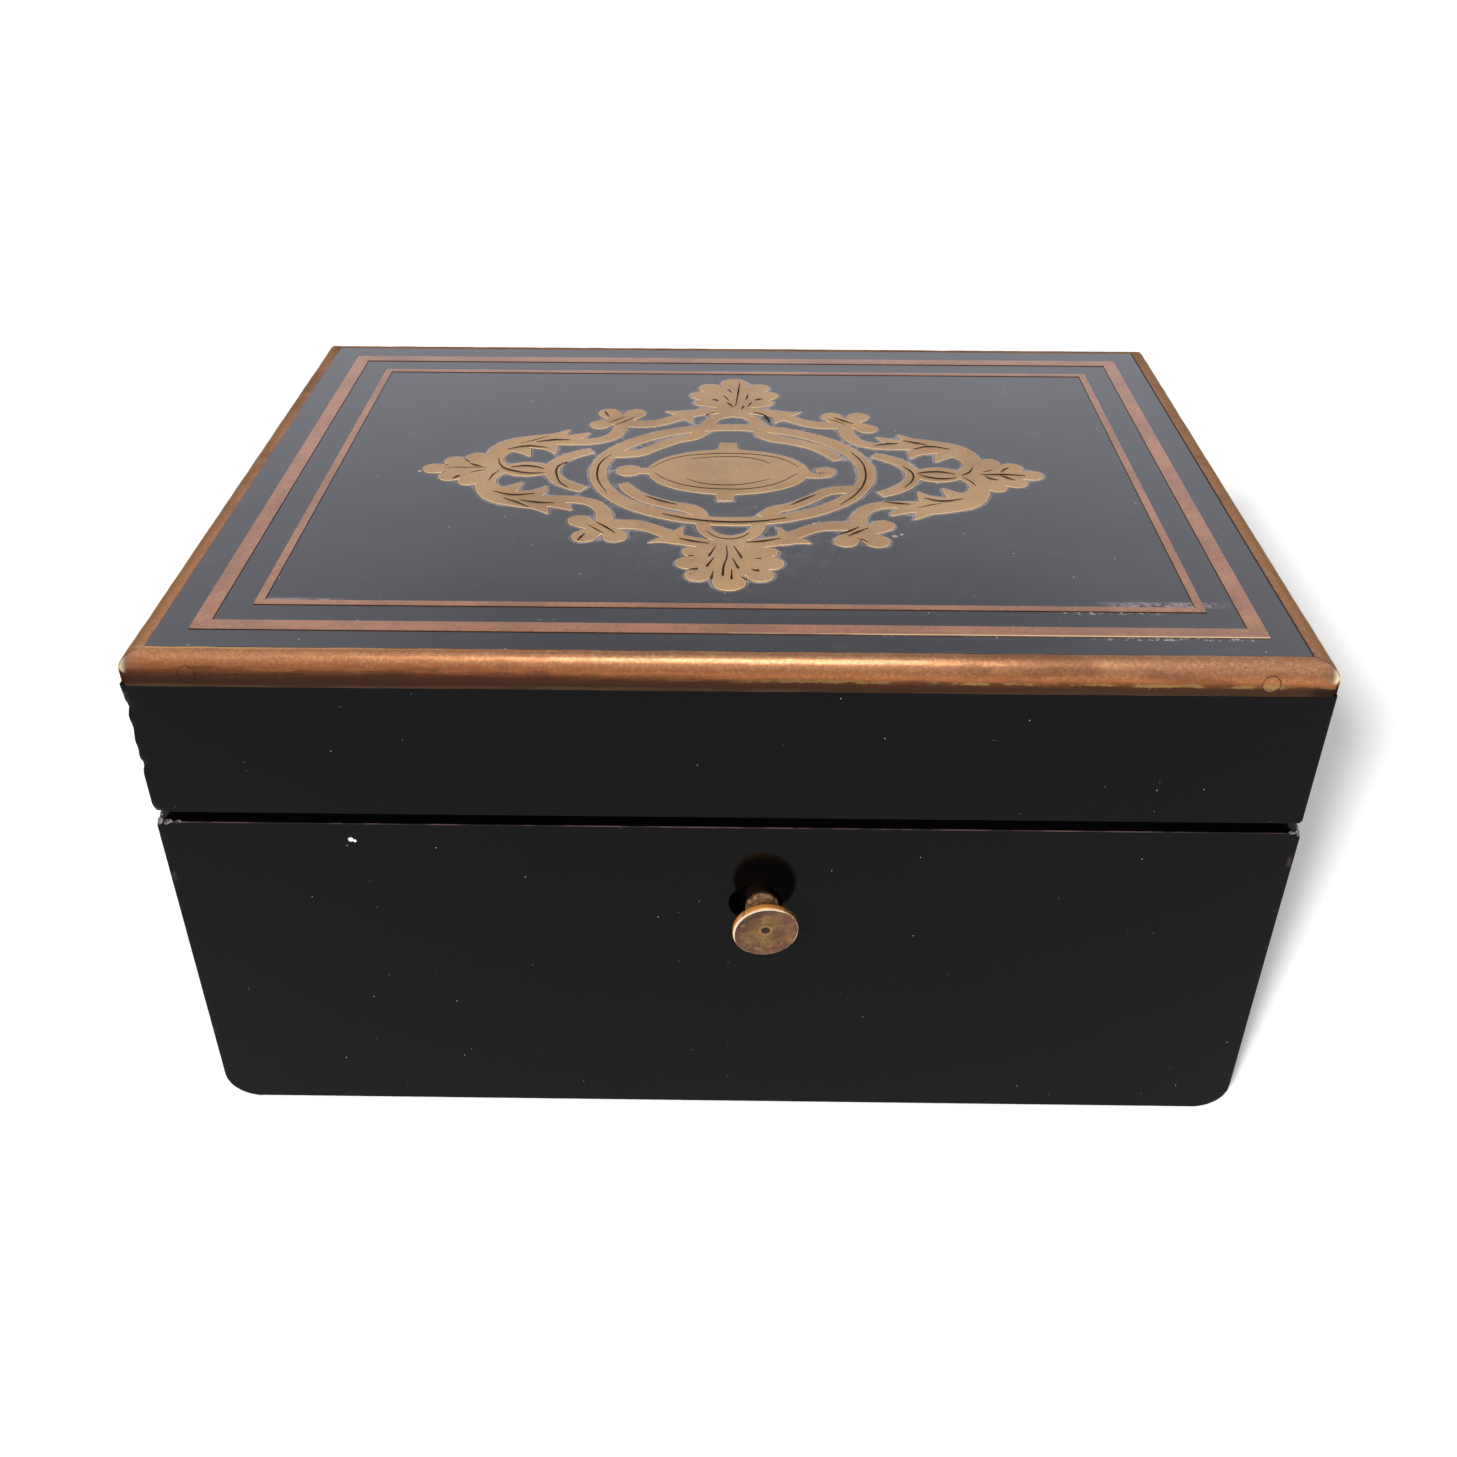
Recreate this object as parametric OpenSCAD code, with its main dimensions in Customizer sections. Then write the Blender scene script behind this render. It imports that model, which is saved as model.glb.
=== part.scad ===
// Marquetry jewel box: an ebonised case and hinged lid with a brass edge bead, two brass stringing
// lines, a sawn brass cartouche let into the lid veneer, and a push-button catch in the front board.
// Millimetres, +Z up, front towards -Y, origin at the middle of the underside.

/* [Box] */
// Width of the boards across the front
box_w = 150; // [136:1:190]
// Depth of the boards from front to back
box_d = 111; // [100:1:140]
// Height of the case up to its rim
case_h = 53; // [46:1:70]
// Height of the lid from its lower edge to the veneer
lid_h = 23.7; // [20:0.1:34]
// Gap between case and lid that the hinge knuckles stand in
seam_gap = 1.3; // [1:0.1:1.8]
// Thickness of the case walls and lid rails
wall_t = 10; // [9.5:0.5:13]
// Thickness of the bottom board
bottom_t = 5; // [4:0.5:8]
// Depth of the rebate that holds the bottom board
bottom_rebate = 4; // [2:0.5:5]
// Rounding of the two lower side edges of the case
foot_round = 4; // [1:0.5:5]
// Easing of the upright corners
corner_ease = 0.8; // [0.3:0.1:1.5]

/* [Lid top] */
// Height of the brass edge bead
bead_h = 4; // [3:0.1:6]
// Width of the bead seen from above, inside the line of the boards
bead_in = 2.8; // [2.4:0.1:4]
// How far the bead stands out past the rails
bead_proud = 0.15; // [0.05:0.05:0.5]
// Radius of the bead's rounded edge
bead_round = 2.3; // [1:0.1:2.4]
// Thickness of the lid veneer
veneer_t = 0.8; // [0.5:0.1:1.5]
// How far the brass inlay stands above the veneer
inlay_proud = 0.12; // [0:0.02:0.3]
// Saw cut left between brass and veneer
saw_kerf = 0.06; // [0.03:0.01:0.15]
// Half the width of the narrowest slit that is sawn in the brass
slit_half = 0.2; // [0.1:0.05:0.4]
// Distance of the outer stringing from the edge of the boards
outer_string_in = 7; // [5:0.1:9]
// Width of the outer stringing
outer_string_w = 2.3; // [1:0.1:3]
// Distance of the inner stringing from the edge of the boards
inner_string_in = 13.4; // [12:0.1:16]
// Width of the inner stringing
inner_string_w = 1.2; // [0.6:0.1:2]
// Least margin between the cartouche and the inner stringing
cartouche_margin = 2.4; // [1.5:0.1:8]
// Radius of the pins that hold the bead
bead_pin_r = 1.1; // [0.6:0.1:1.2]
// Distance of the bead pins from the corners
bead_pin_in = 8.5; // [6:0.5:20]
// Height of the bead pins above the rails
bead_pin_up = 1.7; // [1.3:0.1:1.9]

/* [Push button] */
// Button to the right of the middle of the front
knob_x = 5; // [-20:0.5:20]
// Button axis below the rim
knob_drop = 13.4; // [12:0.1:15]
// Radius of the button's head
knob_head_r = 4.4; // [3.6:0.1:6]
// How far the head stands out from the front board
knob_reach = 5.6; // [5:0.1:8]
// Radius of the button's stem
stem_r = 1.95; // [1.5:0.05:2.2]
// Press of the button
knob_travel = 1.5; // [1.3:0.05:1.6]
// Radius of the worn hole in the front face
sight_hole_r = 3.4; // [3.2:0.1:4]
// Depth of the worn hole
sight_hole_depth = 1.2; // [0.8:0.1:1.6]
// The worn hole lies this far to the left of the stem
sight_hole_shift = 0.8; // [0:0.1:1]
// Wood left to guide the stem
guide_web = 2; // [1.6:0.1:2.4]

/* [Catch] */
// Pivot of the rocking catch below the rim
pivot_drop = 5; // [4:0.1:6]
// Radius of the pivot pin
pivot_r = 0.8; // [0.6:0.1:1]
// Thickness of the catch lever
lever_t = 1.2; // [1:0.1:1.4]
// Width of the catch lever
lever_w = 6.6; // [5:0.1:8]
// Hold of the hook over the keeper's edge
hook_bite = 1; // [0.6:0.1:1.1]
// Height of the hook's nose
hook_h = 1.5; // [1.2:0.1:2]
// Thickness of the latch plate
latch_t = 0.8; // [0.6:0.1:1]
// Thickness of the rim leg of the latch plate
selvedge_t = 1.2; // [0.8:0.1:1.6]
// Thickness of the pivot lugs
lug_t = 1; // [0.8:0.1:1.5]
// Thickness of the keeper plate
keeper_t = 1; // [0.8:0.1:1.4]
// Thickness of the return spring
spring_t = 0.3; // [0.2:0.05:0.4]
// Width of the return spring
spring_w = 4; // [2:0.5:5]

/* [Hinges] */
// Hinges to each side of the middle
hinge_x = 42; // [25:1:48]
// Length of a hinge
hinge_len = 20; // [16:1:26]
// Depth of a hinge leaf from the knuckle axis
leaf_deep = 6; // [5:0.5:7]
// Thickness of a hinge leaf
leaf_t = 0.9; // [0.7:0.1:1.2]
// Radius of a knuckle
knuckle_r = 1.6; // [1.4:0.05:1.8]
// Radius of the hinge pins
hinge_pin_r = 0.8; // [0.6:0.05:0.9]
// Angle of each bevel on the back arrises, which stop the open lid
stop_bevel = 52; // [51:1:56]

/* [Lining] */
// Thickness of the lining boards
lining_t = 1.6; // [1.2:0.1:2.5]
// Height of the lining's lip above the rim
lip_h = 3; // [1.5:0.1:3.4]
// Thickness of the padded floor
floor_pad_t = 7; // [4:0.5:10]
// Thickness of the padded panel in the lid
lid_pad_t = 6; // [3:0.5:8]
// Radius of the buttons on the lid panel
tuft_r = 3; // [2:0.1:5]

/* [Hidden] */

$fn = 48;
over = 1; // overrun of cuts past a face
fit = 0.05; // clearance of a set piece in its seat
run = 0.05; // radial clearance of a running fit
gap = 0.3; // clearance of faces that move past each other

ebony = [0.09, 0.09, 0.1];
deal = [0.35, 0.26, 0.18];
gilt_brass = [0.66, 0.5, 0.28];
old_brass = [0.5, 0.35, 0.24];
steel = [0.55, 0.55, 0.56];
satin = [0.45, 0.12, 0.16];

// Levels and faces
rim_z = case_h;
lid_z = case_h + seam_gap;
top_z = lid_z + lid_h;
rail_top = top_z - bead_h;
board_top = top_z - veneer_t;
front_y = -box_d / 2;
back_y = box_d / 2;
inner_w = box_w - 2 * wall_t;
inner_d = box_d - 2 * wall_t;
inner_y = front_y + wall_t;
inlay_t = veneer_t + inlay_proud;

// Stack of the catch, from the front face inwards
mortise_y = front_y + sight_hole_depth + guide_web;
collar_t = 0.6;
collar_r = 3.1;
tail_len = 0.5;
tail_y = mortise_y + gap + collar_t + tail_len;
touch_gap = 0.12; // between the button's tail and the lever
lever_y = tail_y + touch_gap;
lever_back = lever_y + lever_t;
pivot_y = lever_y + lever_t / 2;
pivot_z = rim_z - pivot_drop;
knob_z = rim_z - knob_drop;
eye_wall = 0.8; // steel left round the pivot
eye_r = pivot_r + eye_wall;
swing = atan(knob_travel / (knob_drop - pivot_drop)); // turn of the catch at full press
nose_z = lid_z + keeper_t + gap + fit;
hook_reach = hook_bite + gap + fit;
slot_back = lever_back + gap + fit;
slot_front = pivot_y - (nose_z + hook_h - pivot_z) * sin(swing) - lever_t / 2 - gap;
rim_slot_front = pivot_y - pivot_drop * sin(swing) - lever_t / 2 - gap;
lever_tail = 2.2; // end of the lever below the button's axis
lever_low = knob_z - lever_tail;
lug_x = lever_w / 2 + gap;
lug_air = 0.6; // between a lug and the side of the mortise
mortise_hw = lug_x + lug_t + lug_air;
spring_room = 10; // mortise below the lever, for the spring's foot
mortise_z = lever_low - spring_room;
plate_side = 5; // upright leg of the latch plate past the mortise
plate_hw = mortise_hw + plate_side;
plate_foot = 1.5; // and below it
plate_z = mortise_z - plate_foot;
plate_y = inner_y - latch_t;
selvedge_side = 8; // rim leg past the mortise
selvedge_hw = mortise_hw + selvedge_side;
slot_edge = 1; // metal left in front of a slot
selvedge_y = rim_slot_front - slot_edge;
keeper_side = 8; // keeper past the lever on each side
keeper_hw = lever_w / 2 + keeper_side;
keeper_front = slot_front - slot_edge;
keeper_land = 3.5; // keeper behind its slot, which the hook holds
keeper_back = slot_back + keeper_land;
nose_edge = 0.4; // upright edge of the hook's nose
pocket_air = 0.6; // round the hook in the lid

// Hinge axis, inset by a knuckle's radius and half way up the seam
hinge_y = back_y - knuckle_r;
hinge_z = rim_z + seam_gap / 2;
leaf_end = hinge_y - leaf_deep;
knuckle_share = 0.3; // of the hinge's length, in the middle knuckle
mid_knuckle = hinge_len * knuckle_share;
knuckle_air = 0.2;
knuckle_relief = knuckle_r + knuckle_air;

// Screws
screw_r = 0.8;
screw_head_r = 1.6;
screw_head_h = 0.8;
screw_len = 6;
screw_slot_w = 0.4;
screw_slot_deep = 0.35;
screw_edge = 2.4; // from the end of a plate to a screw's axis
plate_screw_up = 4; // from the foot of the latch plate to its lower screws
leaf_screw_share = 0.32; // of the hinge's length, from its middle

// Turned form of the button
ring_r = 0.45;
rim_t = 0.9;
rim_w = 0.8;
rim_ease = 0.35;
dish = 0.3;
dimple_r = 0.6;
flare_step = 0.4; // from the trumpet's edge out to the head's
dome_r = 4; // of the tail that pushes the lever

// Return spring
spring_foot = 3; // flat length on the plate
spring_foot_up = 0.5; // above the floor of the mortise
spring_touch = 1; // below the button's axis, where it bears on the lever
spring_tip = 1.6; // from there to the tip
spring_curl = 0.3; // the tip's turn away from the lever

bead_pin_len = 7;
lip_air = 1; // between the lip of the case lining and the lid lining

// Plan of the ornament as drawn, before it is fitted to its field: knots of [x, y, width]. The middle
// leaf of the palmette and the sprig reach farthest
palmette_leaf = [[0, 23.6, 3], [0, 30, 4], [0, 35.2, 4.6]];
sprig = [[36.4, 0, 2.4], [42, 0, 2.6], [45.7, 0, 3.4]];
spray_shift = [-0.6, 0.3]; // the sprays lie a little out of line, as they were cut by hand
palmette_lift = [1, 0]; // and the back palmette is the longer one
medallion_shift = [-0.6, 0];
function tip(k) = k[len(k) - 1];
ornament_w = 2 * tip(sprig)[0] + tip(sprig)[2];
ornament_d = 2 * (tip(palmette_leaf)[1] + max(palmette_lift)) + tip(palmette_leaf)[2];
field_in = inner_string_in + inner_string_w + cartouche_margin;
ornament_fit = min((box_w - 2 * field_in) / ornament_w, (box_d - 2 * field_in) / ornament_d);
curve_steps = 4;
lobe_facets = 20;
oval_facets = 64;
knot_facets = 28;

// Which way each side of the box faces, as a turn from the front
function side_turn(side) = side == "front" ? 0 : side == "right" ? 90 : side == "back" ? 180 : 270;
function side_len(side) = (side == "front" || side == "back") ? box_w : box_d;
function side_off(side) = (side == "front" || side == "back") ? box_d : box_w;

// Smooth curve through knots of [x, y, width], by the cubic that passes through each knot
function knot(k, i) = k[max(0, min(len(k) - 1, i))];
function cubic(a, b, c, d, t) =
    0.5 * (2 * b + (c - a) * t + (2 * a - 5 * b + 4 * c - d) * t * t + (3 * b - a - 3 * c + d) * t * t * t);
function curve(k) = concat(
    [for (i = [0 : len(k) - 2]) for (s = [0 : curve_steps - 1])
        cubic(knot(k, i - 1), k[i], k[i + 1], knot(k, i + 2), s / curve_steps)],
    [tip(k)]);
function heading(c, i) = let (a = knot(c, i - 1), b = knot(c, i + 1)) atan2(b[1] - a[1], b[0] - a[0]);
function edge(c, i, side) = let (h = heading(c, i) + 90 * side)
    [c[i][0] + cos(h) * c[i][2] / 2, c[i][1] + sin(h) * c[i][2] / 2];
function oval(rx, ry, n) = [for (i = [0 : n - 1]) [rx * cos(360 * i / n), ry * sin(360 * i / n)]];
function arc(c, r, from, to, n) = [for (i = [0 : n]) let (a = from + (to - from) * i / n)
    [c[0] + r * cos(a), c[1] + r * sin(a)]];

// A band of brass along a curve, with its width given at each knot
module band(k) {
    c = curve(k);
    last = len(c) - 1;
    polygon(concat([for (i = [0 : last]) edge(c, i, 1)], [for (i = [last : -1 : 0]) edge(c, i, -1)]));
}

// A band that ends in a round lobe
module petal(k) {
    end = tip(k);
    band(k);
    translate([end[0], end[1]]) circle(d = end[2], $fn = lobe_facets);
}

// One quarter of the cartouche's scrollwork
module scroll_quarter() {
    band([[33.2, -1.3, 1.6], [35.2, 0.4, 2.3], [36.9, 3.2, 2.7], [36.7, 6.4, 3.5], [34.7, 9.4, 4.2],
          [31.4, 11.2, 3.6], [28.4, 12.6, 2.7], [26.5, 15.3, 0.3]]);
    band([[35, 8.6, 3], [33, 7.2, 2.6], [31.6, 4.8, 0.3]]);
    band([[31.6, 9.8, 3.6], [29, 8.6, 2.8], [27.8, 6, 0.3]]);
    band([[29.5, 11, 2.8], [25.6, 12, 2.6], [23.2, 14.1, 0.4]]);
    band([[30, 10.4, 2.2], [26, 10.5, 2.4], [22.4, 10.7, 2.2], [19.9, 12.1, 2.2], [18.5, 14.6, 2.3],
          [18.2, 17.6, 2.6], [18.4, 19.4, 2.6]]);
    petal([[18.4, 19.2, 2.2], [20.2, 18.8, 2.6], [21.7, 17.5, 3.4]]);
    petal([[18.2, 19.2, 2.2], [20.6, 22.4, 3.6]]);
    petal([[17.8, 19.2, 2.2], [16.2, 22.4, 3.5]]);
}

// A branch from the trefoil to the palmette, with the two leaves at its end
module branch() {
    band([[18.2, 18.6, 2.6], [14.8, 18.2, 2.8], [12.1, 18.9, 2.5], [9.7, 20.6, 2.4], [7, 22.8, 2.8],
          [3, 24.1, 2.6], [0, 24.6, 2.4]]);
    band([[7.6, 22.8, 2.4], [7.5, 21, 1.8], [6.8, 19.1, 0.3]]);
    band([[7, 23.4, 2], [9.4, 23, 1.6], [11.2, 23.7, 0.3]]);
}

// Half of a palmette on its arch, which springs from the ring
module palmette_half(lift) {
    band([[4, 17.4, 2.3], [3.6, 19.9, 2.1], [2.2, 21.8, 2.1], [0, 22.7, 2.2]]);
    translate([0, lift]) {
        petal(palmette_leaf);
        petal([[0, 25.6, 2.4], [2, 29, 3], [4.2, 33.2, 3.7]]);
        petal([[0, 25.2, 2.6], [3, 27.6, 3.2], [5.7, 29.8, 3.5]]);
        petal([[0, 25, 2.4], [3, 25.8, 2.6], [5.4, 26.5, 2.6]]);
    }
}

// Half of the spray at one end: sprig, knot and the arc that embraces the ring
module spray_half() {
    petal(sprig);
    petal([[36.8, 0.2, 2.2], [40, 1.6, 2.8], [42.9, 2.7, 3.4]]);
    petal([[36.8, 0.6, 2.2], [39.8, 4.4, 3.1]]);
    translate([31.4, 0]) polygon(oval(3.8, 2.6, knot_facets));
    band([[27.5, -0.4, 2.3], [27.4, 1.4, 2.3], [26.3, 3.8, 2.3], [24.2, 5.8, 2.3], [22.1, 7.1, 2]]);
}

// The oval ring, and the straps inside it that turn about the middle
module ring_and_straps() {
    difference() {
        polygon(oval(21.8, 18.4, oval_facets));
        polygon(oval(19.2, 15.8, oval_facets));
    }
    for (turn = [0, 180]) rotate(turn) {
        band([[20, -5.9, 2.4], [16.8, -6.2, 2.5], [14.5, -6.7, 2.4], [12.8, -8.3, 2.2],
              [10.8, -10.3, 2.2], [8.5, -12.1, 2.2], [6.4, -13.1, 2.3], [4.9, -15.6, 2.8]]);
        band([[-4.2, -17, 2.6], [-4.9, -14.2, 2.6], [-6.6, -12.7, 2.6], [-9.2, -11.7, 2.4],
              [-12.6, -9.8, 2.4], [-15.2, -6.9, 2.2], [-16.4, -4.5, 1.5]]);
    }
}

// The whole pierced sheet of the cartouche, fitted to its field
module cartouche_plan() {
    offset(delta = -slit_half) offset(delta = slit_half)
    scale(ornament_fit) {
        ring_and_straps();
        for (sx = [0, 1]) for (sy = [0, 1]) {
            translate([0, spray_shift[sx]]) mirror([sx, 0]) mirror([0, sy]) {
                scroll_quarter();
                spray_half();
            }
            mirror([sx, 0]) mirror([0, sy]) {
                branch();
                palmette_half(palmette_lift[sy]);
            }
        }
    }
}

// The loose oval in the middle, with its tabs, bulb and curl
module medallion_plan() {
    offset(delta = -slit_half) offset(delta = slit_half)
    translate(medallion_shift) scale(ornament_fit) {
        polygon(oval(12.3, 8.2, oval_facets));
        band([[0, 7, 5], [-0.1, 8.6, 3.2], [-0.1, 10.9, 2.7]]);
        band([[0, -7, 3.2], [-0.3, -8.6, 2.8], [-0.3, -10.4, 2.4]]);
        petal([[-11.5, 0, 2.6], [-13.6, 0, 2], [-15.2, 0, 3.9]]);
        petal([[11.4, -0.3, 2.6], [13, -1.4, 1.6], [14.9, -0.9, 1.9], [15.4, 0.7, 1.9], [14.4, 0.6, 2]]);
    }
}

module rounded_rect(w, d, r) {
    square([w - 2 * r, d], center = true);
    square([w, d - 2 * r], center = true);
    for (sx = [-1, 1]) for (sy = [-1, 1])
        translate([sx * (w / 2 - r), sy * (d / 2 - r)]) circle(r);
}

// Plan of the quarter of the box that one side takes, cut at 45 degrees in the corners
module mitre_wedge(side) {
    half = side_len(side) / 2;
    reach = wall_t + 2 * over;
    rotate(side_turn(side)) translate([0, -side_off(side) / 2])
        polygon([[-half - over, -over], [half + over, -over],
                 [half - reach, reach], [reach - half, reach]]);
}

module keep_side(side, low, high) {
    intersection() {
        translate([0, 0, low]) linear_extrude(high - low) mitre_wedge(side);
        children();
    }
}

module block(w, d, low, high) {
    translate([-w / 2, -d / 2, low]) cube([w, d, high - low]);
}

// A cut or piece that runs along X, drawn in the plane of Y and Z
module along_x(from, to) {
    translate([from, 0, 0]) rotate([90, 0, 90]) linear_extrude(to - from) children();
}

// A countersunk wood screw, head up at the origin; grow widens it into its own hole
module screw(grow = 0) {
    translate([0, 0, -screw_head_h - grow])
        cylinder(h = screw_head_h + grow, r1 = screw_r + grow, r2 = screw_head_r + grow);
    translate([0, 0, -screw_len - grow]) cylinder(h = screw_len + grow, r = screw_r + grow);
}

module slotted_screw() {
    difference() {
        screw();
        translate([-screw_head_r, -screw_slot_w / 2, -screw_slot_deep])
            cube([2 * screw_head_r, screw_slot_w, screw_slot_deep + over]);
    }
}

// Places of the catch's screws: two in the rim leg and two in the upright leg
module at_latch_screws() {
    for (s = [-1, 1]) {
        translate([knob_x + s * (selvedge_hw - screw_edge), (selvedge_y + inner_y) / 2, rim_z])
            children();
        translate([knob_x + s * (plate_hw - screw_edge), inner_y, plate_z + plate_screw_up])
            rotate([-90, 0, 0]) children();
    }
}

module at_keeper_screws() {
    for (s = [-1, 1])
        translate([knob_x + s * (keeper_hw - screw_edge), (keeper_front + keeper_back) / 2, lid_z])
            rotate([180, 0, 0]) children();
}

module at_hinges() {
    for (s = [-1, 1]) translate([s * hinge_x, 0, 0]) children();
}

module at_leaf_screws(z, turn) {
    for (s = [-1, 1])
        translate([s * hinge_len * leaf_screw_share, (leaf_end + hinge_y - knuckle_relief) / 2, z])
            rotate([turn, 0, 0]) children();
}

module at_bead_pins(side) {
    for (s = [-1, 1]) rotate(side_turn(side))
        translate([s * (side_len(side) / 2 - bead_pin_in), -side_off(side) / 2, rail_top + bead_pin_up])
            rotate([-90, 0, 0]) children();
}

// Bevels through the hinge axis along the back arrises of case and lid
module stop_bevels() {
    far = knuckle_r + over;
    drop = far * tan(stop_bevel);
    along_x(-box_w / 2 - over, box_w / 2 + over)
        polygon([[hinge_y, hinge_z], [hinge_y + far, hinge_z - drop], [hinge_y + far, hinge_z + drop]]);
}

// Room in the boards for one hinge: both leaves and the turning knuckles
module hinge_room() {
    half = hinge_len / 2 + fit;
    translate([-half, leaf_end - fit, rim_z - leaf_t - fit])
        cube([2 * half, leaf_deep + fit, seam_gap + 2 * (leaf_t + fit)]);
    along_x(-half, half) translate([hinge_y, hinge_z]) circle(knuckle_relief);
}

// The case: four mitred boards on a rebated bottom
module case_block() {
    intersection() {
        linear_extrude(case_h) rounded_rect(box_w, box_d, corner_ease);
        rotate([90, 0, 0]) translate([0, 0, -box_d / 2 - over]) linear_extrude(box_d + 2 * over) {
            translate([-box_w / 2, foot_round]) square([box_w, case_h]);
            translate([foot_round - box_w / 2, 0]) square([box_w - 2 * foot_round, case_h]);
            for (s = [-1, 1]) translate([s * (box_w / 2 - foot_round), foot_round]) circle(foot_round);
        }
    }
}

module case_wall(side) {
    difference() {
        keep_side(side, -over, case_h + over) case_block();
        block(inner_w, inner_d, -over, case_h + over);
        block(inner_w + 2 * bottom_rebate, inner_d + 2 * bottom_rebate, -over, bottom_t);
    }
}

module case_front() {
    color(ebony) difference() {
        case_wall("front");
        translate([knob_x, front_y - over, knob_z]) rotate([-90, 0, 0])
            cylinder(h = mortise_y - front_y + 2 * over, r = stem_r + run);
        translate([knob_x - sight_hole_shift, front_y - over, knob_z]) rotate([-90, 0, 0])
            cylinder(h = sight_hole_depth + over, r = sight_hole_r);
        translate([knob_x - mortise_hw, mortise_y, mortise_z])
            cube([2 * mortise_hw, wall_t, case_h]);
        translate([knob_x - plate_hw - fit, plate_y - fit, plate_z - fit])
            cube([2 * (plate_hw + fit), wall_t, case_h]);
        translate([knob_x - selvedge_hw - fit, selvedge_y - fit, rim_z - selvedge_t - fit])
            cube([2 * (selvedge_hw + fit), wall_t, case_h]);
        at_latch_screws() screw(fit);
    }
}

module case_back() {
    color(ebony) difference() {
        case_wall("back");
        stop_bevels();
        at_hinges() {
            hinge_room();
            at_leaf_screws(rim_z, 0) screw(fit);
        }
    }
}

module case_left() {
    color(ebony) difference() {
        case_wall("left");
        stop_bevels();
    }
}

module case_right() {
    color(ebony) difference() {
        case_wall("right");
        stop_bevels();
    }
}

module case_bottom() {
    color(deal) block(inner_w + 2 * bottom_rebate, inner_d + 2 * bottom_rebate, 0, bottom_t);
}

// The lid: four mitred rails, a board inside the bead, and the sawn veneer
module lid_rail(side) {
    difference() {
        keep_side(side, lid_z - over, rail_top + over)
            translate([0, 0, lid_z]) linear_extrude(rail_top - lid_z)
                rounded_rect(box_w, box_d, corner_ease);
        block(inner_w, inner_d, lid_z - over, rail_top + over);
    }
}

module lid_front() {
    color(ebony) difference() {
        lid_rail("front");
        translate([knob_x - keeper_hw - fit, keeper_front - fit, lid_z - over])
            cube([2 * (keeper_hw + fit), keeper_back - keeper_front + 2 * fit, keeper_t + over + fit]);
        translate([knob_x - lug_x, slot_front, lid_z - over])
            cube([2 * lug_x, lever_back + hook_reach + pocket_air - slot_front,
                  nose_z + hook_h + pocket_air + over - lid_z]);
        at_keeper_screws() screw(fit);
    }
}

module lid_back() {
    color(ebony) difference() {
        lid_rail("back");
        stop_bevels();
        at_hinges() {
            hinge_room();
            at_leaf_screws(lid_z, 180) screw(fit);
        }
    }
}

module lid_left() {
    color(ebony) difference() {
        lid_rail("left");
        stop_bevels();
    }
}

module lid_right() {
    color(ebony) difference() {
        lid_rail("right");
        stop_bevels();
    }
}

module lid_board() {
    color(deal) difference() {
        block(box_w - 2 * bead_in, box_d - 2 * bead_in, rail_top, board_top);
        for (side = ["front", "right", "back", "left"]) at_bead_pins(side) bead_pin(fit);
    }
}

module string_ring(inset, w) {
    difference() {
        square([box_w - 2 * inset, box_d - 2 * inset], center = true);
        square([box_w - 2 * (inset + w), box_d - 2 * (inset + w)], center = true);
    }
}

module lid_veneer() {
    color(ebony) translate([0, 0, board_top]) linear_extrude(veneer_t)
        offset(delta = -saw_kerf) difference() {
            square([box_w - 2 * bead_in + saw_kerf, box_d - 2 * bead_in + saw_kerf], center = true);
            string_ring(outer_string_in, outer_string_w);
            string_ring(inner_string_in, inner_string_w);
            cartouche_plan();
            medallion_plan();
        }
}

// Brass bead round the lid: a quarter round in four mitred lengths, pinned through its face
module bead_profile() {
    w = bead_in + bead_proud;
    square([w, bead_h - bead_round]);
    translate([bead_round, 0]) square([w - bead_round, bead_h]);
    intersection() {
        translate([bead_round, bead_h - bead_round]) circle(bead_round);
        square([w, bead_h]);
    }
}

// The profile carried round to one side, seen along that side's length
module bead_length(side, extra) {
    half = side_len(side) / 2 + over;
    rotate(side_turn(side)) translate([0, -side_off(side) / 2 - bead_proud, rail_top])
        along_x(-half, half) {
            bead_profile();
            if (extra > 0) translate([bead_in, 0]) square([extra, bead_h]);
        }
}

module bead_pin(grow = 0) {
    translate([0, 0, -bead_proud - over])
        cylinder(h = bead_pin_len + bead_proud + over, r = bead_pin_r + grow);
}

module bead_side(side) {
    color(gilt_brass) difference() {
        keep_side(side, rail_top - over, top_z + over) intersection() {
            bead_length(side, 0);
            translate([0, 0, rail_top]) linear_extrude(bead_h)
                rounded_rect(box_w + 2 * bead_proud, box_d + 2 * bead_proud, corner_ease + bead_proud);
        }
        at_bead_pins(side) bead_pin(fit);
    }
}

module bead_front() { bead_side("front"); }
module bead_back() { bead_side("back"); }
module bead_left() { bead_side("left"); }
module bead_right() { bead_side("right"); }

module bead_pins() {
    color(gilt_brass) for (side = ["front", "right", "back", "left"]) intersection() {
        at_bead_pins(side) bead_pin();
        bead_length(side, 2 * bead_pin_in);
    }
}

// Brass stringing: two frames of mitred strips let into the veneer
module string_side(side, inset, w) {
    color(old_brass) translate([0, 0, board_top]) linear_extrude(inlay_t) intersection() {
        string_ring(inset, w);
        string_wedge(side, inset, w);
    }
}

module string_wedge(side, inset, w) {
    half = side_len(side) / 2;
    deep = inset + w + over;
    rotate(side_turn(side)) translate([0, -side_off(side) / 2])
        polygon([[-half, 0], [half, 0], [half - deep, deep], [deep - half, deep]]);
}

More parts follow.
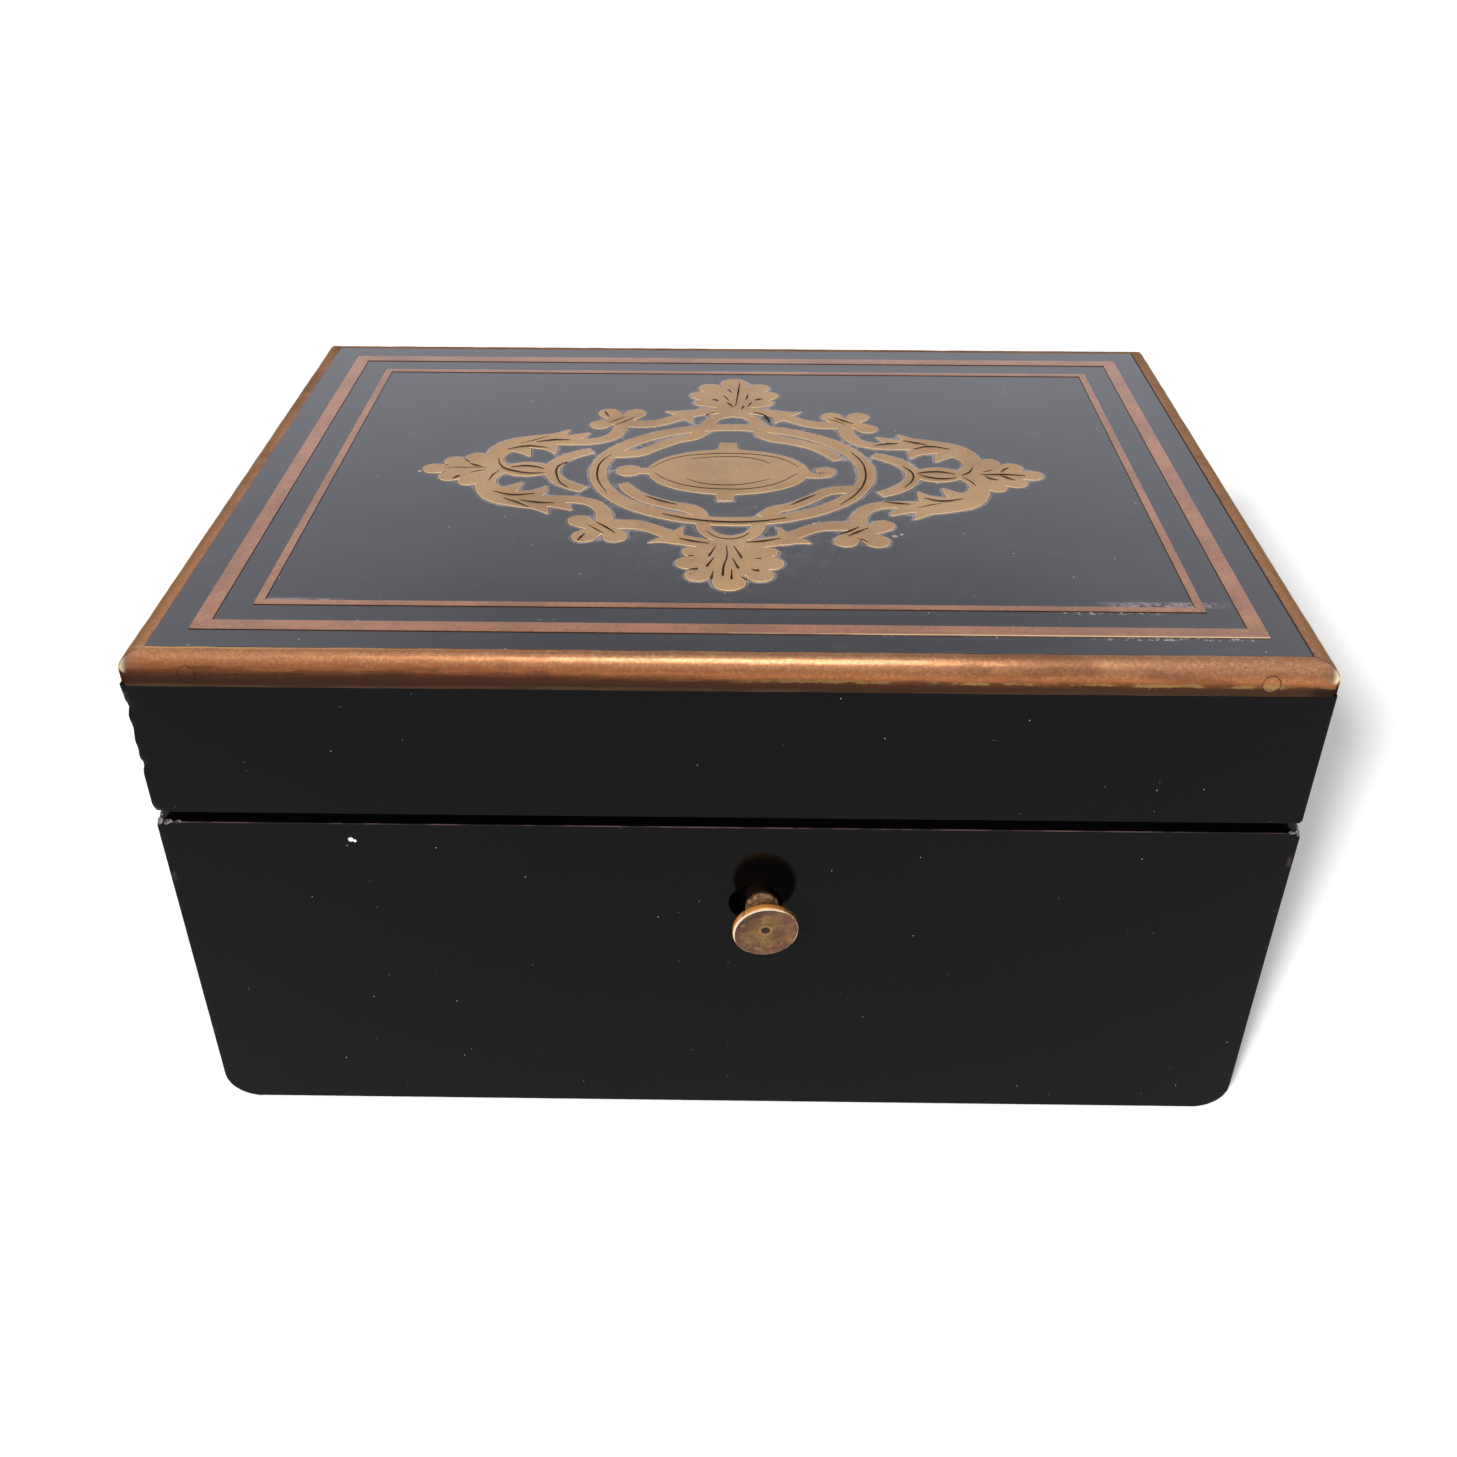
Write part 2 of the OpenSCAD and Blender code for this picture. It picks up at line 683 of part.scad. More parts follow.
module outer_string_front() { string_side("front", outer_string_in, outer_string_w); }
module outer_string_back() { string_side("back", outer_string_in, outer_string_w); }
module outer_string_left() { string_side("left", outer_string_in, outer_string_w); }
module outer_string_right() { string_side("right", outer_string_in, outer_string_w); }
module inner_string_front() { string_side("front", inner_string_in, inner_string_w); }
module inner_string_back() { string_side("back", inner_string_in, inner_string_w); }
module inner_string_left() { string_side("left", inner_string_in, inner_string_w); }
module inner_string_right() { string_side("right", inner_string_in, inner_string_w); }

module cartouche() {
    color(gilt_brass) translate([0, 0, board_top]) linear_extrude(inlay_t) cartouche_plan();
}

module medallion() {
    color(gilt_brass) translate([0, 0, board_top]) linear_extrude(inlay_t) medallion_plan();
}

// The push button, turned in one piece: domed tail, stem, ring, trumpet neck and dished head
module push_knob() {
    ring_s = knob_travel + gap;
    neck_s = ring_s + 2 * ring_r;
    flare_s = knob_reach - rim_t;
    face_s = knob_reach - dish;
    dome_half = asin(stem_r / dome_r);
    tail_s = front_y - tail_y;
    flare_r = knob_head_r - flare_step;
    dish_r = knob_head_r - rim_ease - rim_w;
    color(gilt_brass) translate([knob_x, front_y, knob_z]) rotate([90, 0, 0]) rotate_extrude()
    polygon(concat(
        arc([0, tail_s + dome_r], dome_r, -90, dome_half - 90, 6),
        arc([stem_r, ring_s + ring_r], ring_r, -90, 90, 8),
        [for (i = [1 : 6]) let (t = i / 6)
            [stem_r + (flare_r - stem_r) * t * t, neck_s + (flare_s - neck_s) * t]],
        [[knob_head_r, flare_s], [knob_head_r, knob_reach - rim_ease]],
        [[knob_head_r - rim_ease, knob_reach]],
        [[dish_r + dish, knob_reach], [dish_r, face_s], [dimple_r, face_s], [0, face_s - dimple_r / 2]]));
}

module knob_collar() {
    color(gilt_brass) translate([knob_x, mortise_y + gap, knob_z]) rotate([-90, 0, 0]) difference() {
        cylinder(h = collar_t, r = collar_r);
        translate([0, 0, -over]) cylinder(h = collar_t + 2 * over, r = stem_r);
    }
}

// The catch: an angle plate in the rim with two lugs, and the lever that rocks between them
module latch_plate() {
    lug_r = eye_r + 2 * fit;
    color(old_brass) difference() {
        union() {
            translate([knob_x - plate_hw, plate_y, plate_z])
                cube([2 * plate_hw, latch_t, rim_z - plate_z]);
            translate([knob_x - selvedge_hw, selvedge_y, rim_z - selvedge_t])
                cube([2 * selvedge_hw, inner_y - selvedge_y, selvedge_t]);
            for (s = [-1, 1]) translate([s > 0 ? 0 : -2 * lug_x - lug_t, 0, 0])
                along_x(knob_x + lug_x, knob_x + lug_x + lug_t) {
                    translate([pivot_y, pivot_z]) circle(lug_r);
                    translate([pivot_y, pivot_z - lug_r])
                        square([plate_y - pivot_y + latch_t / 2, 2 * lug_r]);
                }
        }
        along_x(knob_x - selvedge_hw, knob_x + selvedge_hw) translate([pivot_y, pivot_z]) circle(pivot_r);
        translate([knob_x - lug_x, rim_slot_front, rim_z - selvedge_t - over])
            cube([2 * lug_x, slot_back - rim_slot_front, selvedge_t + 2 * over]);
        at_latch_screws() screw(fit);
    }
}

module catch_lever() {
    top = nose_z + hook_h;
    color(steel) difference() {
        along_x(knob_x - lever_w / 2, knob_x + lever_w / 2) {
            translate([lever_y, lever_low]) square([lever_t, top - lever_low]);
            translate([pivot_y, pivot_z]) circle(eye_r);
            polygon([[lever_y, nose_z], [lever_back + hook_reach, nose_z],
                     [lever_back + hook_reach, nose_z + nose_edge],
                     [lever_back - lever_t / 2, top], [lever_y, top]]);
        }
        along_x(knob_x - lever_w, knob_x + lever_w) translate([pivot_y, pivot_z]) circle(pivot_r + run);
    }
}

module pivot_pin() {
    color(steel) along_x(knob_x - lug_x - lug_t, knob_x + lug_x + lug_t)
        translate([pivot_y, pivot_z]) circle(pivot_r);
}

// A leaf bent from its flat foot on the plate, with its tip against the lever's lower arm
module return_spring() {
    foot_z = mortise_z + spring_foot_up;
    bend_z = foot_z + spring_foot;
    seat_y = plate_y - spring_t / 2;
    touch_y = lever_back + spring_t / 2 + fit;
    touch_z = knob_z - spring_touch;
    color(steel) along_x(knob_x - spring_w / 2, knob_x + spring_w / 2) {
        translate([plate_y - spring_t, foot_z]) square([spring_t, spring_foot]);
        band([[seat_y, bend_z, spring_t], [(seat_y + touch_y) / 2, (bend_z + touch_z) / 2, spring_t],
              [touch_y, touch_z, spring_t], [touch_y + spring_curl, touch_z + spring_tip, spring_t]]);
    }
}

module latch_screws() {
    color(steel) at_latch_screws() slotted_screw();
}

module keeper_plate() {
    color(old_brass) difference() {
        translate([knob_x - keeper_hw, keeper_front, lid_z])
            cube([2 * keeper_hw, keeper_back - keeper_front, keeper_t]);
        translate([knob_x - lug_x, slot_front, lid_z - over])
            cube([2 * lug_x, slot_back - slot_front, keeper_t + 2 * over]);
        at_keeper_screws() screw(fit);
    }
}

module keeper_screws() {
    color(steel) at_keeper_screws() slotted_screw();
}

// Butt hinges: the case leaf carries the outer knuckles and the pin, the lid leaf the middle one
module case_leaf() {
    half = hinge_len / 2;
    color(old_brass) difference() {
        union() {
            translate([-half, leaf_end, rim_z - leaf_t]) cube([hinge_len, leaf_deep, leaf_t]);
            along_x(-half, half) translate([hinge_y, hinge_z]) circle(knuckle_r);
        }
        along_x(-half - over, half + over) translate([hinge_y, hinge_z]) circle(hinge_pin_r);
        along_x(-mid_knuckle / 2 - gap, mid_knuckle / 2 + gap) {
            translate([hinge_y, hinge_z]) circle(knuckle_relief);
            translate([hinge_y - knuckle_relief, rim_z - leaf_t - over])
                square([2 * knuckle_relief, over + leaf_t]);
        }
        at_leaf_screws(rim_z, 0) screw(fit);
    }
}

module lid_leaf() {
    half = hinge_len / 2;
    color(old_brass) difference() {
        union() {
            translate([-half, leaf_end, lid_z]) cube([hinge_len, leaf_deep, leaf_t]);
            along_x(-mid_knuckle / 2, mid_knuckle / 2) translate([hinge_y, hinge_z]) circle(knuckle_r);
        }
        along_x(-half - over, half + over) translate([hinge_y, hinge_z]) circle(hinge_pin_r + run);
        for (s = [-1, 1]) translate([s > 0 ? mid_knuckle / 2 : -half - over, 0, 0])
            along_x(0, half + over - mid_knuckle / 2) {
                translate([hinge_y, hinge_z]) circle(knuckle_relief);
                translate([hinge_y - knuckle_relief, lid_z]) square([2 * knuckle_relief, leaf_t + over]);
            }
        at_leaf_screws(lid_z, 180) screw(fit);
    }
}

module hinge_pin() {
    color(steel) along_x(-hinge_len / 2, hinge_len / 2) translate([hinge_y, hinge_z]) circle(hinge_pin_r);
}

module hinge_left_case_leaf() { translate([-hinge_x, 0, 0]) case_leaf(); }
module hinge_left_lid_leaf() { translate([-hinge_x, 0, 0]) lid_leaf(); }
module hinge_left_pin() { translate([-hinge_x, 0, 0]) hinge_pin(); }
module hinge_right_case_leaf() { translate([hinge_x, 0, 0]) case_leaf(); }
module hinge_right_lid_leaf() { translate([hinge_x, 0, 0]) lid_leaf(); }
module hinge_right_pin() { translate([hinge_x, 0, 0]) hinge_pin(); }

module hinge_case_screws() {
    color(steel) at_hinges() at_leaf_screws(rim_z, 0) slotted_screw();
}

module hinge_lid_screws() {
    color(steel) at_hinges() at_leaf_screws(lid_z, 180) slotted_screw();
}

// Satin-covered lining boards: the long ones run through, the short ones stand between them
module lining(side, low, high, lip) {
    through = side == "front" || side == "back";
    along = through ? inner_w : inner_d - 2 * lining_t;
    off = (through ? inner_d : inner_w) / 2;
    step = lip > 0 ? gap + 2 * fit : 0;
    color(satin) rotate(side_turn(side)) difference() {
        translate([-along / 2, -off, low]) cube([along, lining_t, high + lip - low]);
        translate([-along / 2 - over, -off - over, high]) cube([along + 2 * over, over + step, lip + over]);
        if (through && lip > 0) for (s = [-1, 1])
            translate([s * along / 2 - step, -off - over, high])
                cube([2 * step, lining_t + 2 * over, lip + over]);
    }
}

lid_lining_low = lid_z + lip_h + lip_air;

module lining_front() { lining("front", bottom_t, rim_z, lip_h); }
module lining_back() { lining("back", bottom_t, rim_z, lip_h); }
module lining_left() { lining("left", bottom_t, rim_z, lip_h); }
module lining_right() { lining("right", bottom_t, rim_z, lip_h); }
module lid_lining_front() { lining("front", lid_lining_low, rail_top, 0); }
module lid_lining_back() { lining("back", lid_lining_low, rail_top, 0); }
module lid_lining_left() { lining("left", lid_lining_low, rail_top, 0); }
module lid_lining_right() { lining("right", lid_lining_low, rail_top, 0); }

// Padded floor and lid panel, and the tuft buttons set in the lid panel
pad_round = 3;
pad_w = inner_w - 2 * (lining_t + gap);
pad_d = inner_d - 2 * (lining_t + gap);
tuft_t = 1.6;

module floor_pad() {
    color(satin) translate([0, 0, bottom_t]) linear_extrude(floor_pad_t)
        rounded_rect(pad_w, pad_d, pad_round);
}

module at_tufts() {
    for (place = [[0, 0], [-1, -1], [-1, 1], [1, -1], [1, 1]])
        translate([place[0] * pad_w / 4, place[1] * pad_d / 4, rail_top - lid_pad_t]) children();
}

module lid_pad() {
    color(satin) difference() {
        translate([0, 0, rail_top - lid_pad_t]) linear_extrude(lid_pad_t)
            rounded_rect(pad_w, pad_d, pad_round);
        at_tufts() translate([0, 0, -over]) cylinder(h = tuft_t + over, r = tuft_r + fit);
    }
}

module lid_tufts() {
    color(satin) at_tufts() cylinder(h = tuft_t, r = tuft_r);
}

case_front();
case_back();
case_left();
case_right();
case_bottom();
lid_front();
lid_back();
lid_left();
lid_right();
lid_board();
lid_veneer();
bead_front();
bead_back();
bead_left();
bead_right();
bead_pins();
outer_string_front();
outer_string_back();
outer_string_left();
outer_string_right();
inner_string_front();
inner_string_back();
inner_string_left();
inner_string_right();
cartouche();
medallion();
push_knob();
knob_collar();
latch_plate();
catch_lever();
pivot_pin();
return_spring();
latch_screws();
keeper_plate();
keeper_screws();
hinge_left_case_leaf();
hinge_left_lid_leaf();
hinge_left_pin();
hinge_right_case_leaf();
hinge_right_lid_leaf();
hinge_right_pin();
hinge_case_screws();
hinge_lid_screws();
lining_front();
lining_back();
lining_left();
lining_right();
floor_pad();
lid_lining_front();
lid_lining_back();
lid_lining_left();
lid_lining_right();
lid_pad();
lid_tufts();
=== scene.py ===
import math

import bmesh
import bpy
from mathutils import Matrix, Vector, kdtree


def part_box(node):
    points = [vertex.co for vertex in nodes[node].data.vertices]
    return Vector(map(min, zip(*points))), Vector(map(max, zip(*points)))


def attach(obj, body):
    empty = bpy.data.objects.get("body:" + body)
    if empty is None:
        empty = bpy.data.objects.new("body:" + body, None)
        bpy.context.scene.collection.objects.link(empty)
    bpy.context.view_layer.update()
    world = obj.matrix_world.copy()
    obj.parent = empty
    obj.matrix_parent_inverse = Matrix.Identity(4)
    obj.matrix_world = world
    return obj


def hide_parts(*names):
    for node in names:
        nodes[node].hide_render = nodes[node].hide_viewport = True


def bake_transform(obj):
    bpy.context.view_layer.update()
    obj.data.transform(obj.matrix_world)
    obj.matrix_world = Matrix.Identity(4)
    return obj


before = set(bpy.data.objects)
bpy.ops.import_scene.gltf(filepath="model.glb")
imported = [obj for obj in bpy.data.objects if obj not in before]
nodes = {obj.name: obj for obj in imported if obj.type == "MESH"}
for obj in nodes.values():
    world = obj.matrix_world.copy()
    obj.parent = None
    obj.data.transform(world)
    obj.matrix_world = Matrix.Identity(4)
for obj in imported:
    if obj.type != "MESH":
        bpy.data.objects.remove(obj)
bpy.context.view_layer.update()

mm = 0.001
print("loaded", len(nodes), "nodes")


class Wire:  # a socket that can stand in a sum
    def __init__(self, tree, socket):
        self.tree = tree
        self.socket = socket

    def node(self, kind, settings=(), sockets=(), out=0):
        made = self.tree.nodes.new("ShaderNode" + kind)
        for name, value in dict(settings).items():
            if name == "stops":
                ramp = made.color_ramp
                while len(ramp.elements) < len(value):
                    ramp.elements.new(0.5)
                for element, (place, colour) in zip(ramp.elements, value):
                    element.position = place
                    element.color = (*colour, 1)
            else:
                setattr(made, name, value)
        for name, value in dict(sockets).items():
            if isinstance(value, Wire):
                self.tree.links.new(value.socket, made.inputs[name])
            else:
                made.inputs[name].default_value = value
        return Wire(self.tree, made.outputs[out])

    def root(self):
        return self.sum("SQRT", self)

    def sine(self):
        return self.sum("SINE", self)

    def far(self, place):  # distance from a place in millimetres
        return self.node("VectorMath", {"operation": "DISTANCE"}, {0: self, 1: Vector(place) * mm}, out=1)

    def sum(self, how, a, b=0.0):
        return self.node("Math", {"operation": how}, {0: a, 1: b})

    def __add__(self, other):
        return self.sum("ADD", self, other)

    def __radd__(self, other):
        return self.sum("ADD", other, self)

    def __sub__(self, other):
        return self.sum("SUBTRACT", self, other)

    def __rsub__(self, other):
        return self.sum("SUBTRACT", other, self)

    def __mul__(self, other):
        return self.sum("MULTIPLY", self, other)

    def __rmul__(self, other):
        return self.sum("MULTIPLY", other, self)

    def __abs__(self):
        return self.sum("ABSOLUTE", self)


def newFinish(name):
    material = bpy.data.materials.new(name)
    material.use_nodes = True
    tree = material.node_tree
    tree.nodes.clear()
    coords = tree.nodes.new("ShaderNodeTexCoord")
    return material, Wire(tree, coords.outputs["Object"])


def show(shader, kind="Material"):  # wired to the tree's output
    end = shader.tree.nodes.new("ShaderNodeOutput" + kind)
    shader.tree.links.new(shader.socket, end.inputs["Surface"])


def closeFinish(material, start, sockets):
    show(start.node("BsdfPrincipled", {}, sockets))
    return material


def axes(start):
    return [start.node("SeparateXYZ", {}, {0: start}, out=i) for i in range(3)]


def stretched(start, scale):  # coordinates drawn out along one way
    return start.node("Mapping", {}, {"Vector": start, "Scale": scale})


def noise(start, scale, detail=4.0, rough=0.55):
    return start.node("TexNoise", {}, {"Vector": start, "Scale": scale, "Detail": detail, "Roughness": rough})


def fade(value, low, high):  # 0 below low, 1 above high
    return value.node("MapRange", {"interpolation_type": "SMOOTHSTEP"},
                      {"Value": value, "From Min": low, "From Max": high})


def past(value, low, high):  # the same in millimetres
    return fade(value, low * mm, high * mm)


def band(value, low, high, soft):  # 1 between low and high
    return past(value, low - soft, low + soft) * (1 - past(value, high - soft, high + soft))


def mix(factor, a, b):
    a, b = ((*c, 1) if isinstance(c, tuple) else c for c in (a, b))
    return factor.node("Mix", {"data_type": "RGBA"}, {0: factor, 6: a, 7: b}, out=2)


def bump(height, distance, strength=1.0):
    return height.node("Bump", {}, {"Height": height, "Distance": distance, "Strength": strength})


def most(first, *others):  # the strongest of several masks
    for other in others:
        first = first.sum("MAXIMUM", first, other)
    return first


def specks(start, scale, size, share=0.26, flat="3D"):  # one small dot in some of the cells
    cell = start.node("TexVoronoi", {"voronoi_dimensions": flat}, {"Vector": start, "Scale": scale})
    pick = start.node("TexVoronoi", {"voronoi_dimensions": flat}, {"Vector": start, "Scale": scale}, out=1)
    chosen = start.node("SeparateColor", {}, {0: pick}, out=0)
    return (1 - fade(cell, size * 0.5, size)) * fade(chosen, 1 - share - 0.02, 1 - share + 0.02)


def nicks(start, pitch, turn, long, size, share=0.2, flat="3D"):  # short straight marks
    turned = start.node("Mapping", {}, {"Vector": start, "Rotation": turn,
                                        "Scale": (1 / (pitch * long * mm), 1 / (pitch * mm), 1 / (pitch * mm))})
    return specks(turned, 1.0, size, share, flat)


def ebonisedFinish():
    look = {"black": (0.0009, 0.0009, 0.001), "brown": (0.0021, 0.0018, 0.0018), "worn": (0.12, 0.072, 0.065)}
    hole = {"x": 4.2, "z": 39.6, "r": 4.4, "y": -55.35}
    flecks = [(-49.9, 49.95, 0.42), (-49.4, 49.75, 0.28)]
    material, start = newFinish("ebonisedWood")
    x, y, z = axes(start)
    grain = noise(stretched(start, (30.0, 30.0, 420.0)), 1.0, 5.0, 0.6)
    clouds = noise(start, 38.0)
    flat = start.node("CombineXYZ", {}, {0: x + y, 1: z})
    dust = most(specks(flat, 170.0, 0.018, 0.07, "2D"), specks(flat, 290.0, 0.026, 0.04, "2D") * 0.4)
    lines = most(nicks(flat, 7.0, (0.0, 0.0, 0.5), 6.0, 0.01, 0.1, "2D"),
                 nicks(flat, 8.0, (0.0, 0.0, -0.4), 7.0, 0.008, 0.1, "2D"))
    top = z + (1 - past(y, -30, 30)) * (0.35 * mm)
    rim = past(top, 52.86, 52.92) * (1 - past(top, 53.0, 53.05))
    outer = most(past(abs(x), 74.9, 74.95), past(abs(y), 55.4, 55.45))
    corner = past(abs(x), 74.3, 74.7) * past(abs(y), 54.8, 55.2)
    rubbed = 0.15 + fade(noise(start, 150.0, 4.0, 0.6), 0.42, 0.62) * 0.85
    worn = most(rim * outer * rubbed, corner * fade(noise(start, 220.0, 3.0), 0.6, 0.7) * 0.4)
    # Painted shade: inside the button's hole the wood is coloured near black and made rough.
    dx = x - hole["x"] * mm
    dz = z - hole["z"] * mm
    inside = (1 - fade(dx * dx + dz * dz, (hole["r"] * mm) ** 2 * 0.94, (hole["r"] * mm) ** 2))
    inside = inside * past(y, hole["y"], hole["y"] + 0.1) * (1 - fade(y, -20 * mm, 0.0))  # front board only
    black = mix(clouds, look["black"], look["brown"])
    black = mix(worn * 0.8, black, look["worn"])
    black = mix(most(dust, lines * 0.12), black, (0.32, 0.3, 0.28))
    for cx, cz, r in flecks:
        black = mix(1 - past(start.far((cx, -55.5, cz)), r * 0.6, r), black, (0.85, 0.8, 0.7))
    # the painted shade in the hole
    black = mix(inside, black, (0.001, 0.0008, 0.0007))
    rough = 0.05 + clouds * 0.06 + grain * 0.03 + worn * 0.3 + lines * 0.12 + inside * 0.6
    height = grain * 0.5 + lines * -0.6 + dust * 0.8
    return closeFinish(material, start, {
        "Base Color": black, "Roughness": rough, "IOR": 1.5, "Specular IOR Level": 0.112,
        "Normal": bump(height, 0.012 * mm, 0.6)})


def brokenFinish():
    material, start = newFinish("brokenLacquer")
    crumbs = noise(start, 1900.0, 4.0, 0.7)
    colour = mix(fade(crumbs, 0.4, 0.64), (0.012, 0.011, 0.012), (0.3, 0.28, 0.27))
    return closeFinish(material, start, {
        "Base Color": colour, "Roughness": 0.5 + crumbs * 0.3, "Specular IOR Level": 0.3,
        "Normal": bump(crumbs, 0.2 * mm, 0.8)})


def veneerFinish():
    look = {"black": (0.005, 0.005, 0.006), "film": (0.014, 0.014, 0.016), "haze": (0.06, 0.052, 0.054),
            "worn": (0.3, 0.24, 0.25), "chip": (0.45, 0.4, 0.37)}
    lost = [(12, -17.4, 0.8), (12.6, -16.6, 0.5), (23.2, -21.2, 0.9), (24.2, -20.6, 0.5), (-11.3, -23.8, 0.6),
            (-32.6, -16, 0.4), (-38.9, -6.3, 0.35), (6.5, -18.9, 0.6), (18.4, -15.3, 0.45), (-11.5, -12.3, 0.5),
            (3.6, -12.2, 0.4), (-24.5, -9.8, 0.5), (31, -3.4, 0.6), (-47.8, -0.6, 0.6), (-1.9, -15.9, 0.35)]
    material, start = newFinish("polishedVeneer")
    x, y = axes(start)[:2]
    clouds = noise(start, 30.0)
    film = noise(stretched(start, (60.0, 110.0, 60.0)), 1.0, 6.0, 0.65)
    ripple = noise(stretched(start, (18.0, 150.0, 18.0)), 1.0, 3.0)
    field = fade(abs(x) * (1 / (50 * mm)) + abs(y) * (1 / (40 * mm)), 1.12, 0.82)
    haze = field * fade(noise(start, 420.0, 5.0, 0.65), 0.46, 0.68)
    sawn = start.node("Attribute", {"attribute_name": "sawn"}, out="Fac")
    frayed = noise(start, 700.0, 4.0, 0.7)
    edge = fade(sawn + (frayed - 0.5) * 0.7, 0.55, 0.85)
    edge = edge * (0.3 + 0.7 * fade(noise(start, 110.0, 2.0), 0.42, 0.58))
    dust = most(specks(start, 150.0, 0.024, 0.14, "2D"), specks(start, 330.0, 0.035, 0.06, "2D") * 0.6)
    lines = most(nicks(start, 9.0, (0.0, 0.0, 0.5), 4.0, 0.012, 0.35, "2D"),
                 nicks(start, 11.0, (0.0, 0.0, -0.8), 5.0, 0.009, 0.35, "2D"))
    smear = fade(noise(stretched(start, (90.0, 260.0, 90.0)), 1.0, 6.0, 0.7), 0.56, 0.74)
    fine = noise(start, 1300.0, 5.0, 0.8)
    chips = band(x, 46, 66, 2) * band(y, -49.2, -48.5, 0.1) * fade(fine, 0.52, 0.58)
    chips = most(chips, band(x, 18, 46, 4) * band(y, -49, -48.5, 0.1) * fade(fine, 0.6, 0.64))
    chips = most(chips, band(x, 43, 55, 2) * band(y, -42.8, -42.1, 0.1) * fade(fine, 0.53, 0.59))
    rough = band(x, 50, 63, 3) * band(y, -40.9, -39.5, 0.25)
    rough = most(rough, band(x, -61, -51, 1.5) * band(y, -41.0, -40.3, 0.15))
    torn = noise(start, 900.0, 4.0, 0.7) * 1.6 - 0.8
    for cx, cy, r in lost:
        chips = most(chips, 1 - fade(start.far((cx, cy, 78)) * (1 / (r * mm)) + torn, 0.3, 0.5))
    chips = most(chips, rough * fade(fine, 0.58, 0.64))
    # Painted shade: the thin strip at the veneer's right end is coloured near black for the gap where the veneer has
    # shrunk back from the bead.
    veneerGapShade = past(x, 71.93, 71.99)
    colour = mix(fade(film, 0.35, 0.75), look["black"], look["film"])
    colour = mix(most(haze, smear * 0.35), colour, look["haze"])
    colour = mix(most(edge, rough * fade(fine, 0.42, 0.52)) * 0.8, colour, look["worn"])
    colour = mix(most(chips, dust * 0.8, lines * 0.3), colour, look["chip"])
    colour = mix(veneerGapShade, colour, (0.001, 0.001, 0.001))
    gloss = 0.16 + clouds * 0.1 + film * 0.06 + haze * 0.2 + most(chips, rough) * 0.35 + veneerGapShade * 0.6
    height = ripple * 0.8 + film * 0.3 + haze * 0.5 + chips * 0.8 + rough * fine * 2.0 + lines * -0.5 + dust * 0.6
    return closeFinish(material, start, {
        "Base Color": colour, "Roughness": gloss, "IOR": 1.5,
        "Coat Weight": 0.3 * (1 - most(chips, veneerGapShade, haze * 0.4)),
        "Coat Roughness": 0.12, "Coat IOR": 1.5, "Normal": bump(height, 0.02 * mm, 0.7)})


def giltFinish():
    look = {"gold": (0.61, 0.375, 0.178), "red": (0.45, 0.265, 0.124), "rubbed": (1.0, 0.74, 0.42), "face": 78.12}
    material, start = newFinish("giltBrass")
    z = axes(start)[2]
    clouds = noise(start, 70.0)
    grain = noise(start, 2200.0, 2.0)
    pits = specks(start, 420.0, 0.12, 0.2)
    rubs = noise(stretched(start, (900.0, 60.0, 60.0)), 1.0, 3.0)
    # The eased edges are coloured bright: rubbed metal, and a painted highlight along them.
    edge = 1 - past(z, look["face"] - 0.02, look["face"] - 0.005)
    colour = mix(fade(clouds * 0.7 + grain * 0.3, 0.38, 0.66), look["gold"], look["red"])
    colour = mix(pits * 0.6, colour, (0.12, 0.07, 0.04))
    colour = mix(edge, colour, look["rubbed"])
    return closeFinish(material, start, {
        "Base Color": colour, "Metallic": 1.0, "Roughness": 0.34 + clouds * 0.12 + rubs * 0.08 - edge * 0.1,
        "Normal": bump(rubs * 0.5 + grain * 0.5 - pits * 0.7, 0.01 * mm, 0.5)})


def inkFinish():
    # The engraved grooves are coloured near black: grime, and painted shade in the hollows.
    material, start = newFinish("engravedInk")
    dirt = noise(start, 700.0, 3.0)
    colour = mix(dirt, (0.012, 0.009, 0.007), (0.045, 0.032, 0.02))
    return closeFinish(material, start, {
        "Base Color": colour, "Roughness": 0.75 + dirt * 0.15, "Specular IOR Level": 0.1,
        "Normal": bump(dirt, 0.02 * mm, 0.6)})


def stringFinish():
    look = {"copper": (0.48, 0.21, 0.1), "brown": (0.34, 0.147, 0.072), "bright": (0.9, 0.6, 0.33)}
    material, start = newFinish("stringBrass")
    x, y = axes(start)[:2]
    clouds = noise(start, 110.0)
    streaks = noise(stretched(start, (60.0, 60.0, 900.0)), 1.0, 3.0)
    grain = noise(start, 1800.0, 2.0)
    pits = specks(start, 330.0, 0.1, 0.2)
    # Painted highlight: a bright line along the front edge of the outer front string, stronger towards the right.
    lip = band(y, -48.6, -48.3, 0.05) * fade(x + (clouds - 0.5) * (60 * mm), 0.0, 30 * mm)
    colour = mix(fade(clouds * 0.6 + grain * 0.4, 0.38, 0.62), look["copper"], look["brown"])
    colour = mix(pits * 0.7, colour, (0.1, 0.05, 0.03))
    colour = mix(lip, colour, look["bright"])
    return closeFinish(material, start, {
        "Base Color": colour, "Metallic": 1.0, "Roughness": 0.38 + clouds * 0.14,
        "Coat Weight": 0.6, "Coat Roughness": 0.15,
        "Normal": bump(streaks + grain * 0.6 - pits, 0.01 * mm, 0.6)})


